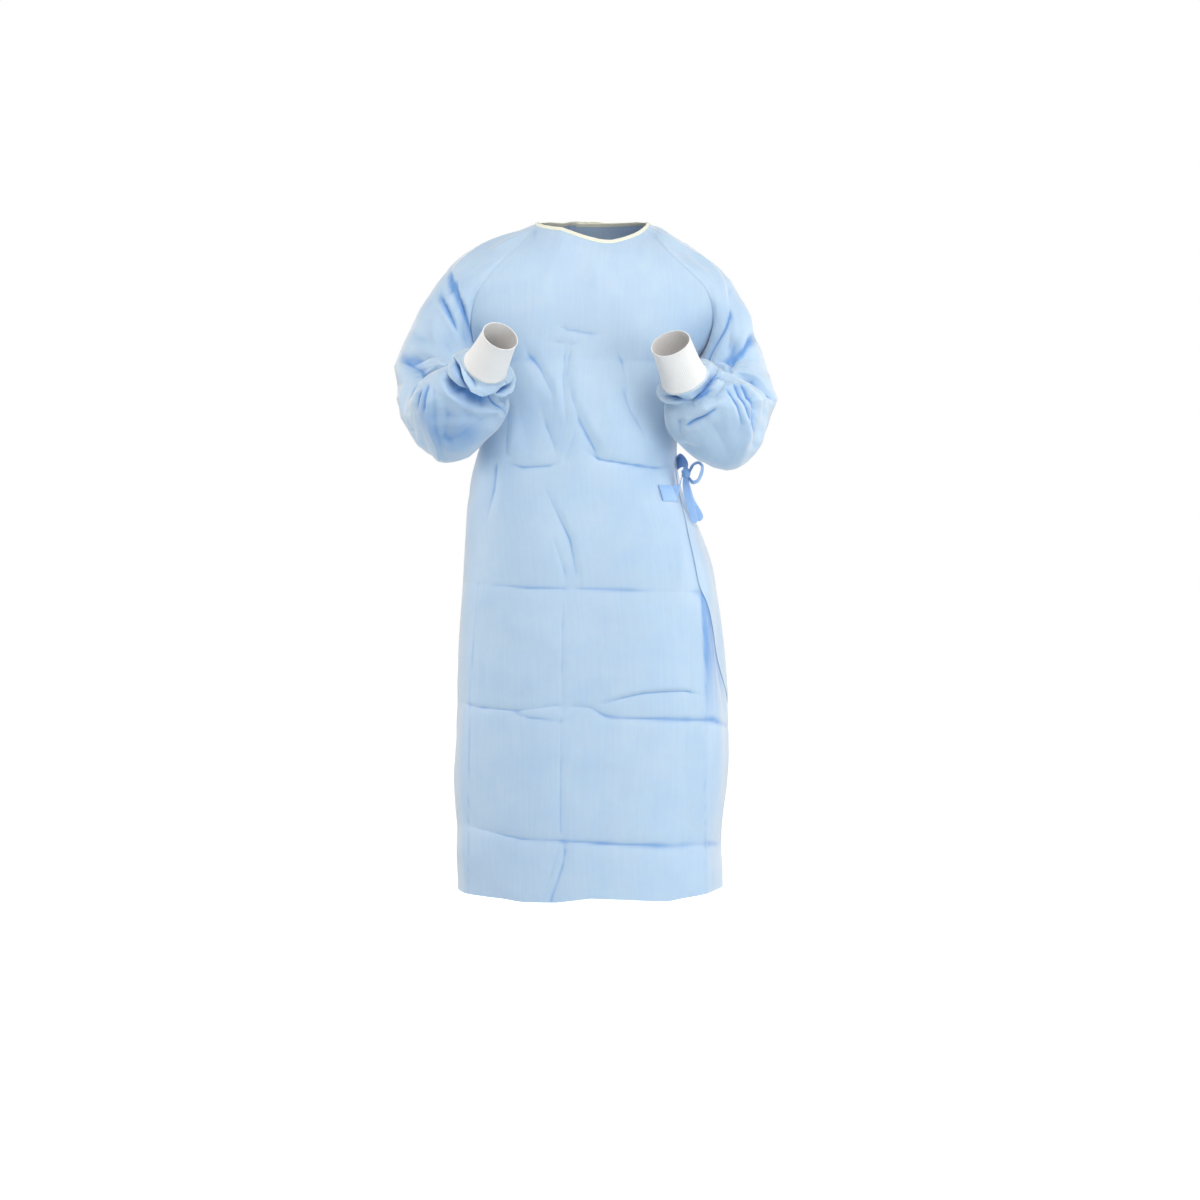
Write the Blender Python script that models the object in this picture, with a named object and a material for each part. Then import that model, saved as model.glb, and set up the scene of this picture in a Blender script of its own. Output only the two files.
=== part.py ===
"""Worn surgical gown: nonwoven front, wrap-over back and raglan sleeves, knit cuffs, neck binding, side tie.

Metres, +Z up, +X towards the wearer's left, -Y in front of the wearer. The origin is the middle of the neck
opening, level with the two points where the gown lies on the shoulders beside the neck.
Every cloth piece is a grid of points on the worn form, made into a closed wall along its normals.
"""

import math

import bmesh
import bpy
import numpy as np

# Walls and gaps
CLOTH_WALL = 0.0015
KNIT_WALL = 0.0022
BINDING_WALL = 0.0024
STRAP_WALL = 0.0013
SEAM_GAP = 0.0005
FOLDED_PULL = 3.0  # times as far where the sleeve and the body fold together at the underarm
LAYER_STEP = 0.0060  # how far the wrap panel stands off the layer under it
SEAM_AGREEMENT = 0.2  # least cosine between two pieces that run on into each other
MITRE_LIMIT = 0.25  # keeps a sharp corner of a piece from being drawn in too far

# Widths of the small pieces
BINDING_WIDTH = 0.0090
CUFF_LENGTH = {"right": 0.0710, "left": 0.0740}
CUFF_FINGER_END = {"right": 0.0300, "left": 0.0325}

# How finely each piece is divided
YOKE_ROWS = 6
BODY_ROWS = 13
FRONT_COLUMNS = 20
WRAP_COLUMNS = 22
UNDER_COLUMNS = 14
SLEEVE_COLUMNS = 20
SLEEVE_RINGS = 16
CUFF_ROWS = 2
ROW_PACKING = 1.15  # above 1 brings the body rows closer together at the waist
EDGE_REACH = 0.15  # rows below the neckline from which the binding takes its direction
NORMAL_STEP = {"row": 0.05, "angle": 0.5}  # how far to each side a surface normal is measured
SHARP_ANGLE = 40  # degrees between faces above which an edge is drawn sharp

# The centre lines of the front and the back from the neckline to the underarm, and the turn in degrees
# that each row makes from its centre line to the raglan seam.
# station, front x, y, z, front turn, back x, y, z, back turn
CENTRE_LINES = (
    (0, 0.016, -0.078, -0.041, 70, 0.000, 0.085, 0.006, 62),
    (1, 0.014, -0.096, -0.064, 60, 0.000, 0.104, -0.026, 52),
    (2, 0.011, -0.111, -0.094, 53, 0.000, 0.118, -0.066, 48),
    (3, 0.008, -0.123, -0.129, 52, 0.000, 0.126, -0.114, 50),
    (4, 0.005, -0.132, -0.170, 62, 0.000, 0.130, -0.162, 62),
    (5, 0.002, -0.137, -0.209, 76, 0.000, 0.130, -0.206, 76),
    (6, 0.000, -0.138, -0.245, 90, 0.000, 0.128, -0.245, 90),
)

# The raglan seams and the top of each shoulder: front seam, shoulder top and back seam, how deep the sleeve
# is to either side of its top, and how far in degrees its rows turn to each seam.
# station, front x, y, z, top x, y, z, back x, y, z, deep, front turn, back turn
YOKES = {
    "right": (
        (0, -0.094, -0.022, -0.007, -0.098, 0.026, 0.003, -0.078, 0.062, 0.006, 0.075, 40, 30),
        (1, -0.130, -0.066, -0.048, -0.150, 0.020, -0.016, -0.110, 0.098, -0.042, 0.104, 56, 48),
        (2, -0.168, -0.088, -0.090, -0.201, 0.016, -0.039, -0.148, 0.116, -0.090, 0.113, 67, 62),
        (3, -0.196, -0.094, -0.132, -0.246, 0.012, -0.070, -0.178, 0.116, -0.137, 0.107, 86, 82),
        (4, -0.206, -0.084, -0.176, -0.284, 0.006, -0.122, -0.192, 0.096, -0.182, 0.099, 115, 113),
        (5, -0.202, -0.050, -0.214, -0.315, 0.000, -0.182, -0.195, 0.050, -0.218, 0.095, 149, 148),
        (6, -0.185, -0.005, -0.245, -0.341, -0.005, -0.245, -0.185, -0.005, -0.245, 0.092, 180, 180),
    ),
    "left": (
        (0, 0.096, -0.022, -0.008, 0.100, 0.026, 0.003, 0.080, 0.062, 0.006, 0.075, 40, 30),
        (1, 0.124, -0.064, -0.048, 0.138, 0.020, -0.017, 0.110, 0.098, -0.042, 0.104, 56, 48),
        (2, 0.163, -0.087, -0.088, 0.179, 0.016, -0.043, 0.146, 0.116, -0.090, 0.113, 67, 62),
        (3, 0.196, -0.094, -0.126, 0.217, 0.012, -0.072, 0.174, 0.116, -0.137, 0.107, 86, 82),
        (4, 0.206, -0.084, -0.170, 0.252, 0.006, -0.113, 0.186, 0.096, -0.182, 0.099, 115, 113),
        (5, 0.197, -0.050, -0.212, 0.279, 0.000, -0.176, 0.186, 0.050, -0.218, 0.095, 149, 148),
        (6, 0.175, -0.005, -0.245, 0.303, -0.005, -0.245, 0.175, -0.005, -0.245, 0.092, 180, 180),
    ),
}

# How square the arcs of the yoke are at the neckline, and how much squarer they get down to the underarm.
YOKE_POWER = 2.0
YOKE_SQUARER = {"front": 0.3, "back": 0.2}

# Level sections of the body from the underarm to the hem: half widths, how far the cloth stands in front
# and behind, the depth at which the section is widest, and how square its front and its back are.
# down, right, left, front, back, mid, front power, back power
SECTIONS = (
    (0.245, 0.185, 0.175, -0.138, 0.128, -0.005, 2.3, 2.2),
    (0.290, 0.180, 0.165, -0.144, 0.130, 0.000, 2.3, 2.2),
    (0.340, 0.180, 0.154, -0.148, 0.128, 0.006, 2.3, 2.2),
    (0.400, 0.198, 0.146, -0.150, 0.123, 0.012, 2.3, 2.2),
    (0.440, 0.209, 0.148, -0.151, 0.122, 0.015, 2.3, 2.2),
    (0.480, 0.214, 0.159, -0.152, 0.125, 0.018, 2.4, 2.2),
    (0.530, 0.219, 0.181, -0.154, 0.132, 0.024, 2.5, 2.2),
    (0.590, 0.223, 0.203, -0.157, 0.142, 0.030, 2.6, 2.2),
    (0.660, 0.227, 0.215, -0.160, 0.152, 0.036, 2.7, 2.2),
    (0.750, 0.230, 0.226, -0.163, 0.163, 0.042, 2.7, 2.2),
    (0.870, 0.235, 0.236, -0.168, 0.172, 0.048, 2.6, 2.2),
    (0.960, 0.238, 0.235, -0.172, 0.178, 0.050, 2.5, 2.2),
    (1.060, 0.235, 0.226, -0.176, 0.184, 0.052, 2.4, 2.2),
    (1.152, 0.233, 0.228, -0.180, 0.190, 0.054, 2.3, 2.2),
)

# Soft folds down the body: where each starts and ends, its angle from the centre front there, how far it
# spreads to each side in degrees, and how far it stands out (or in, below zero).
FOLD_FULLNESS = 0.7  # below 1 keeps a fold high for more of its length
# top, bottom, top angle, bottom angle, spread, height
FOLDS = (
    (0.46, 1.30, 60, 50, 12, 0.0050),
    (0.52, 1.00, 72, 66, 11, -0.0060),
    (0.50, 1.30, -62, -58, 12, 0.0040),
    (0.46, 1.30, 122, 132, 14, 0.0080),
    (0.42, 1.20, 146, 153, 12, -0.0070),
    (0.48, 1.30, 168, 176, 13, 0.0090),
    (0.44, 1.25, 192, 199, 12, -0.0070),
    (0.50, 1.30, 214, 221, 13, 0.0080),
    (0.55, 1.30, 243, 240, 13, -0.0060),
)

# Rings of each sleeve below the underarm. The rings fan round the fold inside the bent elbow: each has a
# point on that inner side and one on the outer side, half the width across, and the yaw and tilt of the
# width in degrees.
# station, x, inner y, z, outer y, z, across, yaw, tilt
RINGS = {
    "right": (
        (0, -0.263, -0.097, -0.245, 0.087, -0.245, 0.0780, 0, 0),
        (1, -0.262, -0.113, -0.253, 0.062, -0.300, 0.0750, 3, 4),
        (2, -0.258, -0.122, -0.260, 0.018, -0.362, 0.0740, 6, 8),
        (3, -0.251, -0.128, -0.265, -0.038, -0.406, 0.0720, 9, 11),
        (4, -0.242, -0.134, -0.268, -0.104, -0.419, 0.0720, 11, 13),
        (5, -0.231, -0.141, -0.269, -0.166, -0.401, 0.0750, 13, 15),
        (6, -0.216, -0.151, -0.268, -0.209, -0.369, 0.0780, 14, 16),
        (7, -0.200, -0.163, -0.264, -0.234, -0.341, 0.0660, 15, 16),
        (8, -0.190, -0.179, -0.256, -0.244, -0.324, 0.0510, 15, 16),
        (9, -0.181, -0.187, -0.244, -0.258, -0.313, 0.0540, 15, 16),
        (10, -0.178, -0.202, -0.240, -0.262, -0.302, 0.0450, 15, 16),
        (11, -0.175, -0.214, -0.237, -0.266, -0.293, 0.0370, 15, 16),
    ),
    "left": (
        (0, 0.239, -0.097, -0.245, 0.087, -0.245, 0.0640, 0, 0),
        (1, 0.243, -0.113, -0.254, 0.062, -0.303, 0.0670, 2, 3),
        (2, 0.242, -0.122, -0.262, 0.018, -0.366, 0.0715, 5, 6),
        (3, 0.234, -0.128, -0.268, -0.038, -0.412, 0.0710, 8, 9),
        (4, 0.221, -0.134, -0.272, -0.104, -0.428, 0.0740, 10, 11),
        (5, 0.208, -0.141, -0.275, -0.168, -0.414, 0.0780, 12, 13),
        (6, 0.194, -0.151, -0.276, -0.211, -0.385, 0.0770, 12, 14),
        (7, 0.184, -0.163, -0.274, -0.238, -0.356, 0.0680, 12, 14),
        (8, 0.171, -0.178, -0.269, -0.249, -0.336, 0.0520, 12, 14),
        (9, 0.163, -0.186, -0.260, -0.259, -0.326, 0.0530, 12, 14),
        (10, 0.157, -0.199, -0.259, -0.264, -0.317, 0.0450, 12, 14),
        (11, 0.152, -0.211, -0.259, -0.269, -0.310, 0.0385, 12, 14),
    ),
}
SIDE = {"right": -1, "left": 1}

# The wrap panel goes from the right side seam round the back and over the left side. Its free edge is an
# angle from the centre front towards the wearer's left, at a station in the yoke and at a height below it.
WRAP_NECK = 158
WRAP_UNDERARM = 150
WRAP_EDGE = (
    (0.245, 150), (0.330, 115), (0.400, 91), (0.445, 79), (0.480, 73), (0.520, 66), (0.580, 58),
    (0.640, 58), (0.700, 64), (0.750, 69), (0.800, 74), (0.850, 81), (0.900, 90), (1.000, 101), (1.152, 114),
)
UNDER_EDGE = 206  # free edge of the left back panel, under the wrap panel
STEP_START = 234  # the wrap panel leaves the body's surface here, and stands off fully before UNDER_EDGE
STEP_END = 212

# Straps of the tie. The two that are sewn to a panel first lie on it, between two of its columns. The
# rest of each strap is a row for each place along it: its centre, and half of its width as a vector.
# x, y, z, across x, y, z
FRONT_STRAP = {"down": 0.4690, "from": 15.0, "to": 16.7, "half": 0.0140, "steps": 6, "gap": 0.0009}
FRONT_STRAP_END = (
    (0.1460, -0.0700, -0.4655, 0.0005, 0.0000, 0.0115),
    (0.1500, -0.0660, -0.4560, 0.0010, 0.0000, 0.0080),
    (0.1520, -0.0600, -0.4460, 0.0015, 0.0000, 0.0050),
    (0.1540, -0.0527, -0.4388, 0.0015, 0.0000, 0.0030),
)
SIDE_STRAP = {"down": 0.4180, "from": 4.0, "to": 1.1, "half": 0.0120, "steps": 9, "gap": 0.0014}
SIDE_STRAP_END = (
    (0.1625, -0.0010, -0.4140, -0.0010, 0.0005, -0.0110),
    (0.1640, -0.0140, -0.4140, -0.0020, 0.0000, -0.0090),
    (0.1635, -0.0270, -0.4180, -0.0045, 0.0000, -0.0055),
    (0.1612, -0.0398, -0.4256, -0.0035, 0.0000, -0.0005),
)
TIE_LOOP = (
    (0.1689, -0.0465, -0.4310, 0.0000, 0.0050, 0.0010),
    (0.1710, -0.0480, -0.4225, 0.0020, 0.0080, 0.0010),
    (0.1757, -0.0490, -0.4170, 0.0010, 0.0090, 0.0010),
    (0.1838, -0.0490, -0.4155, 0.0000, 0.0090, 0.0020),
    (0.1886, -0.0490, -0.4205, 0.0000, 0.0090, 0.0010),
    (0.1890, -0.0490, -0.4270, 0.0010, 0.0085, 0.0000),
    (0.1860, -0.0480, -0.4375, 0.0030, 0.0080, 0.0010),
    (0.1800, -0.0470, -0.4470, 0.0020, 0.0080, 0.0000),
    (0.1735, -0.0470, -0.4490, 0.0010, 0.0075, 0.0000),
    (0.1671, -0.0465, -0.4408, 0.0000, 0.0050, 0.0000),
)
TIE_TAIL_LONG = (
    (0.1600, -0.0500, -0.4424, 0.0040, 0.0010, 0.0000),
    (0.1608, -0.0580, -0.4530, 0.0058, 0.0010, 0.0000),
    (0.1625, -0.0610, -0.4670, 0.0064, 0.0020, 0.0010),
    (0.1662, -0.0610, -0.4800, 0.0066, 0.0025, 0.0015),
    (0.1705, -0.0600, -0.4950, 0.0064, 0.0020, 0.0010),
    (0.1740, -0.0590, -0.5080, 0.0060, 0.0020, 0.0020),
    (0.1770, -0.0580, -0.5190, 0.0045, 0.0015, 0.0015),
)
TIE_TAIL_SHORT = (
    (0.1620, -0.0420, -0.4425, 0.0030, 0.0010, 0.0000),
    (0.1660, -0.0430, -0.4570, 0.0035, 0.0040, 0.0000),
    (0.1700, -0.0460, -0.4700, 0.0030, 0.0055, 0.0000),
    (0.1735, -0.0465, -0.4830, 0.0045, 0.0050, 0.0010),
    (0.1780, -0.0470, -0.4950, 0.0065, 0.0035, 0.0020),
    (0.1825, -0.0465, -0.5060, 0.0075, 0.0025, 0.0020),
    (0.1850, -0.0460, -0.5150, 0.0060, 0.0020, 0.0015),
)
KNOT = {"place": (0.1610, -0.0460, -0.4330), "radii": (0.0075, 0.0080, 0.0100), "sides": 12, "rings": 8}

FINISHES = {
    "gown_cloth": {"colour": (0.50, 0.66, 0.84, 1.0), "roughness": 0.75},
    "knit_cuff": {"colour": (0.82, 0.82, 0.82, 1.0), "roughness": 0.90},
    "neck_binding": {"colour": (0.90, 0.89, 0.76, 1.0), "roughness": 0.70},
    "tie": {"colour": (0.42, 0.60, 0.84, 1.0), "roughness": 0.75},
}


def clear_scene():
    for item in list(bpy.data.objects):
        bpy.data.objects.remove(item, do_unlink=True)


def smooth_row(table, knot):
    """The columns of a table after its first, at a value of that first one, on a curve through its rows."""
    rows = np.array(table, dtype=float)
    knots = rows[:, 0]
    slopes = np.gradient(rows[:, 1:], knots, axis=0)
    low = int(np.clip(np.searchsorted(knots, knot) - 1, 0, len(knots) - 2))
    span = knots[low + 1] - knots[low]
    part = (knot - knots[low]) / span
    start, end = rows[low, 1:], rows[low + 1, 1:]
    bend = part * part * (3.0 - 2.0 * part)
    ease_in = part * (1.0 - part) ** 2
    ease_out = part * part * (1.0 - part)
    return start + (end - start) * bend + span * (slopes[low] * ease_in - slopes[low + 1] * ease_out)


def reach(turn, power):
    """Radius of a unit superellipse at a turn in radians."""
    return (abs(math.sin(turn)) ** power + abs(math.cos(turn)) ** power) ** (-1.0 / power)


def down_at(row):
    """Distance below the origin of a body row; rows 0 to YOKE_ROWS belong to the yoke."""
    top, bottom = SECTIONS[0][0], SECTIONS[-1][0]
    return top + (bottom - top) * max(0.0, (row - YOKE_ROWS) / BODY_ROWS) ** ROW_PACKING


def yoke_point(row, angle, in_front):
    """Point of the body above the underarm, on an arc from a centre line to a raglan seam."""
    station = (len(CENTRE_LINES) - 1) * row / YOKE_ROWS
    centre = smooth_row(CENTRE_LINES, station)
    seam = smooth_row(YOKES["right" if angle < 0.0 or angle > 180.0 else "left"], station)
    start, full_turn = (centre[0:3], centre[3]) if in_front else (centre[4:7], centre[7])
    end = seam[0:3] if in_front else seam[6:9]
    share = abs(angle) / 90.0 if in_front else abs(180.0 - angle) / 90.0
    power = YOKE_POWER + YOKE_SQUARER["front" if in_front else "back"] * row / YOKE_ROWS
    full = math.radians(full_turn)
    turn = full * share
    out = reach(turn, power) * math.sin(turn) / (reach(full, power) * math.sin(full))
    fall = (1.0 - reach(turn, power) * math.cos(turn)) / (1.0 - reach(full, power) * math.cos(full))
    return start + (end - start) * np.array((out, fall, fall))


def fold_height(down, angle):
    """How far the folds move the body's surface out."""
    total = 0.0
    for top, bottom, top_angle, bottom_angle, spread, height in FOLDS:
        part = (down - top) / (bottom - top)
        if 0.0 < part < 1.0:
            aside = (angle - top_angle - (bottom_angle - top_angle) * part) / spread
            total += height * math.sin(math.pi * part) ** FOLD_FULLNESS * math.exp(-aside * aside)
    return total


def section_point(down, angle):
    """Point of a level section of the body, at an angle from the centre front towards the wearer's left."""
    right, left, front, back, mid, front_power, back_power = smooth_row(SECTIONS, down)
    turn = math.radians(angle)
    in_front = math.cos(turn) >= 0.0
    far = reach(turn, front_power if in_front else back_power)
    half = left if math.sin(turn) >= 0.0 else right
    deep = mid - front if in_front else back - mid
    raised = fold_height(down, angle)
    across = (half * far + raised) * math.sin(turn)
    return np.array((across, mid - (deep * far + raised) * math.cos(turn), -down))


def body_point(row, angle, in_front):
    """Point of the body; in_front says which half a yoke row lies in."""
    if row <= YOKE_ROWS:
        return yoke_point(row, angle, in_front)
    return section_point(down_at(row), angle)


def lifted(row, angle, in_front, lift):
    """Point off the body's surface, along its outward normal."""
    row_step, angle_step = NORMAL_STEP["row"], NORMAL_STEP["angle"]
    low_row = max(0.0, row - row_step)
    high_row = min(YOKE_ROWS + BODY_ROWS, row + row_step)
    along = body_point(high_row, angle, in_front) - body_point(low_row, angle, in_front)
    ahead = body_point(row, angle + angle_step, in_front)
    normal = np.cross(along, ahead - body_point(row, angle - angle_step, in_front))
    return body_point(row, angle, in_front) + normal * lift / np.linalg.norm(normal)


def row_of(down):
    """The body row at a distance below the origin."""
    top, bottom = SECTIONS[0][0], SECTIONS[-1][0]
    return YOKE_ROWS + BODY_ROWS * ((down - top) / (bottom - top)) ** (1.0 / ROW_PACKING)


def ring_frame(side, ring):
    """Centre of a sleeve ring, and its half width and half depth as vectors."""
    x, inner_y, inner_z, outer_y, outer_z, across, yaw, tilt = smooth_row(RINGS[side], ring)
    yaw, tilt = math.radians(yaw), math.radians(tilt)
    width = np.array((
        SIDE[side] * math.cos(yaw) * math.cos(tilt), -math.sin(yaw) * math.cos(tilt), math.sin(tilt),
    ))
    deep = np.array((0.0, inner_y - outer_y, inner_z - outer_z)) / 2.0
    half_depth = np.linalg.norm(deep)
    deep = deep - width * deep.dot(width)
    deep = deep / np.linalg.norm(deep) * half_depth
    centre = np.array((x, (inner_y + outer_y) / 2.0, (inner_z + outer_z) / 2.0))
    return centre, width * across, deep


def sleeve_point(side, row, turn):
    """Point of a sleeve: turn is 0 along its top, -1 at the front seam and 1 at the back seam."""
    if row >= YOKE_ROWS:
        ring = (len(RINGS[side]) - 1) * (row - YOKE_ROWS) / SLEEVE_RINGS
        centre, width, deep = ring_frame(side, ring)
        around = math.pi * turn
        return centre + width * math.cos(around) - deep * math.sin(around)
    values = smooth_row(YOKES[side], (len(YOKES[side]) - 1) * row / YOKE_ROWS)
    top, depth = values[3:6], values[9]
    end, full_turn, ahead = (values[0:3], values[10], 1.0) if turn < 0.0 else (values[6:9], values[11], -1.0)
    full = math.radians(full_turn)
    around = full * abs(turn)
    drop = (1.0 - math.cos(around)) / (1.0 - math.cos(full))
    forward = np.array((0.0, -ahead * depth, 0.0))
    return top + (end - top) * drop + forward * (math.sin(around) - math.sin(full) * drop)


def grid_faces(rows, columns, closed_from=None):
    """Faces of a grid of points, and its points' numbers; rows from closed_from on close into rings."""
    numbers, count = {}, 0
    for row in range(rows):
        for column in range(columns):
            if closed_from is not None and row >= closed_from and column == columns - 1:
                numbers[row, column] = numbers[row, 0]
            else:
                numbers[row, column] = count
                count += 1
    faces = []
    for row in range(rows - 1):
        for column in range(columns - 1):
            corners = [numbers[row, column], numbers[row + 1, column]]
            corners += [numbers[row + 1, column + 1], numbers[row, column + 1]]
            faces.append(list(dict.fromkeys(corners)))
    return numbers, count, faces


def make_piece(name, rows, columns, point, wall, material, closed_from=None, flip=False):
    """Points and outward faces of a cloth piece from a function of row and column."""
    numbers, count, faces = grid_faces(rows, columns, closed_from)
    points = np.zeros((count, 3))
    for (row, column), number in numbers.items():
        points[number] = point(row, column)
    if flip:
        faces = [face[::-1] for face in faces]
    return {
        "name": name, "material": material, "wall": wall,
        "points": points, "faces": faces, "numbers": numbers,
    }


def point_normals(piece):
    points, normals = piece["points"], np.zeros_like(piece["points"])
    for face in piece["faces"]:
        first, third = points[face[0]], points[face[2]]
        last = points[face[3]] if len(face) == 4 else points[face[0]]
        area = np.cross(third - first, last - points[face[1]])
        for number in face:
            normals[number] += area
    return normals / np.linalg.norm(normals, axis=1)[:, None]


def share_normals(pieces):
    """Give pieces the same normal where one runs on into another, so that their end faces are parallel."""
    meeting = {}
    for piece in pieces:
        piece["normals"] = point_normals(piece)
        piece["folded"] = set()
        for number, point in enumerate(piece["points"]):
            meeting.setdefault(tuple(np.round(point, 5)), []).append((piece, number))
    for members in meeting.values():
        own = [piece["normals"][number] for piece, number in members]
        for (piece, number), normal in zip(members, own):
            agreeing = [other for other in own if other.dot(normal) > SEAM_AGREEMENT]
            piece["normals"][number] = sum(agreeing) / np.linalg.norm(sum(agreeing))
            if len(agreeing) < len(own):
                piece["folded"].add(number)


def edge_loops(faces):
    """Directed edges that only one face has."""
    edges = [edge for face in faces for edge in zip(face, face[1:] + face[:1])]
    known = set(edges)
    return [edge for edge in edges if edge[::-1] not in known]


def pull_in(piece, distance):
    """Draw the piece's edges in along its own surface, and further where the seam folds back on itself."""
    points, normals = piece["points"], piece["normals"]
    inward = {}
    for start, end in edge_loops(piece["faces"]):
        across = np.cross(normals[start] + normals[end], points[end] - points[start])
        across = across / np.linalg.norm(across)
        for number in (start, end):
            inward.setdefault(number, []).append(across)
    moved = points.copy()
    for number, directions in inward.items():
        mean = sum(directions) / len(directions)
        pull = distance * (FOLDED_PULL if number in piece["folded"] else 1.0)
        moved[number] = points[number] + mean / max(MITRE_LIMIT, mean.dot(mean)) * pull
    piece["points"] = moved


def add_object(name, points, faces, material):
    mesh = bpy.data.meshes.new(name)
    mesh.from_pydata([tuple(point) for point in points], [], faces)
    shell = bmesh.new()
    shell.from_mesh(mesh)
    bmesh.ops.triangulate(shell, faces=shell.faces, quad_method="SHORT_EDGE")
    shell.to_mesh(mesh)
    shell.free()
    mesh.shade_smooth()
    mesh.set_sharp_from_angle(angle=math.radians(SHARP_ANGLE))
    mesh.materials.append(material)
    item = bpy.data.objects.new(name, mesh)
    bpy.context.scene.collection.objects.link(item)
    return item


def add_wall(piece):
    """Close a piece into a wall: its outer face, its inner face and the strips along its edges."""
    outer = piece["points"]
    inner = outer - piece["normals"] * piece["wall"]
    count = len(outer)
    faces = list(piece["faces"])
    faces += [[number + count for number in reversed(face)] for face in piece["faces"]]
    faces += [[end, start, start + count, end + count] for start, end in edge_loops(piece["faces"])]
    add_object(piece["name"], np.vstack((outer, inner)), faces, piece["material"])


def finish_material(name):
    material = bpy.data.materials.new(name)
    material.use_nodes = True
    shader = material.node_tree.nodes["Principled BSDF"]
    shader.inputs["Base Color"].default_value = FINISHES[name]["colour"]
    shader.inputs["Roughness"].default_value = FINISHES[name]["roughness"]
    shader.inputs["Metallic"].default_value = 0.0
    return material


def front_panel(material):
    def point(row, column):
        return body_point(row, -90.0 + 180.0 * column / FRONT_COLUMNS, True)

    rows = YOKE_ROWS + BODY_ROWS + 1
    return make_piece("front_panel", rows, FRONT_COLUMNS + 1, point, CLOTH_WALL, material)


def under_back_panel(material):
    def point(row, column):
        return body_point(row, 90.0 + (UNDER_EDGE - 90.0) * column / UNDER_COLUMNS, False)

    rows = YOKE_ROWS + BODY_ROWS + 1
    return make_piece("back_panel_left", rows, UNDER_COLUMNS + 1, point, CLOTH_WALL, material)


def wrap_edge(row):
    """Angle of the wrap panel's free edge."""
    if row <= YOKE_ROWS:
        return WRAP_NECK + (WRAP_UNDERARM - WRAP_NECK) * row / YOKE_ROWS
    return float(smooth_row(WRAP_EDGE, down_at(row))[0])


def wrap_lift(angle):
    """How far the wrap panel stands off the body's surface."""
    part = float(np.clip((STEP_START - angle) / (STEP_START - STEP_END), 0.0, 1.0))
    return LAYER_STEP * part * part * (3.0 - 2.0 * part)


def wrap_back_panel(material):
    def point(row, column):
        edge = wrap_edge(row)
        angle = edge + (270.0 - edge) * column / WRAP_COLUMNS
        return lifted(row, angle, False, wrap_lift(angle))

    rows = YOKE_ROWS + BODY_ROWS + 1
    return make_piece("back_panel_right", rows, WRAP_COLUMNS + 1, point, CLOTH_WALL, material)


def sleeve(side, material):
    def point(row, column):
        return sleeve_point(side, row, -1.0 + 2.0 * column / SLEEVE_COLUMNS)

    rows = YOKE_ROWS + SLEEVE_RINGS + 1
    return make_piece(
        "sleeve_" + side, rows, SLEEVE_COLUMNS + 1, point, CLOTH_WALL, material,
        closed_from=YOKE_ROWS, flip=side == "right",
    )


def cuff(side, material):
    """Knit tube from the end of the sleeve towards the fingers."""
    centre, width, deep = ring_frame(side, len(RINGS[side]) - 1)
    axis = SIDE[side] * np.cross(width, deep)
    axis = axis / np.linalg.norm(axis)
    taper = CUFF_FINGER_END[side] / np.linalg.norm(width)

    def point(row, column):
        along = row / CUFF_ROWS
        around = math.pi * (-1.0 + 2.0 * column / SLEEVE_COLUMNS)
        size = 1.0 + (taper - 1.0) * along
        ring = (width * math.cos(around) - deep * math.sin(around)) * size
        return centre + axis * CUFF_LENGTH[side] * along + ring

    return make_piece(
        "cuff_" + side, CUFF_ROWS + 1, SLEEVE_COLUMNS + 1, point, KNIT_WALL, material,
        closed_from=0, flip=side == "right",
    )


def neckline():
    """Points of the panels' and sleeves' upper edges, each with the point a little way below it."""
    path = []
    for column in range(UNDER_COLUMNS, 0, -1):
        angle = 90.0 + (UNDER_EDGE - 90.0) * column / UNDER_COLUMNS
        path.append((body_point(0, angle, False), body_point(EDGE_REACH, angle, False)))
    for turn in np.linspace(1.0, -1.0, SLEEVE_COLUMNS // 2 + 1)[:-1]:
        path.append((sleeve_point("left", 0, turn), sleeve_point("left", EDGE_REACH, turn)))
    for column in range(FRONT_COLUMNS, 0, -1):
        angle = -90.0 + 180.0 * column / FRONT_COLUMNS
        path.append((body_point(0, angle, True), body_point(EDGE_REACH, angle, True)))
    for turn in np.linspace(-1.0, 1.0, SLEEVE_COLUMNS // 2 + 1)[:-1]:
        path.append((sleeve_point("right", 0, turn), sleeve_point("right", EDGE_REACH, turn)))
    for column in range(WRAP_COLUMNS, -1, -1):
        angle = WRAP_NECK + (270.0 - WRAP_NECK) * column / WRAP_COLUMNS
        lift = wrap_lift(angle)
        path.append((lifted(0, angle, False, lift), lifted(EDGE_REACH, angle, False, lift)))
    return path


def neck_binding(material):
    path = neckline()

    def point(row, column):
        edge, below = path[column]
        upward = (edge - below) / np.linalg.norm(edge - below)
        return edge + upward * (BINDING_WIDTH if row == 0 else 0.0)

    return make_piece("neck_binding", 2, len(path), point, BINDING_WALL, material, flip=True)


def strap(name, rows, material, flip=False):
    """Strap through rows of three points across it."""
    def point(row, column):
        return rows[row][column]

    piece = make_piece(name, len(rows), 3, point, STRAP_WALL, material, flip=flip)
    piece["normals"] = point_normals(piece)
    return piece


def free_rows(table):
    """The three points across a strap in each row of a table of centres and half widths."""
    rows = np.array(table)
    return [[row[0:3] + row[3:6] * side for side in (-1.0, 0.0, 1.0)] for row in rows]


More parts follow.
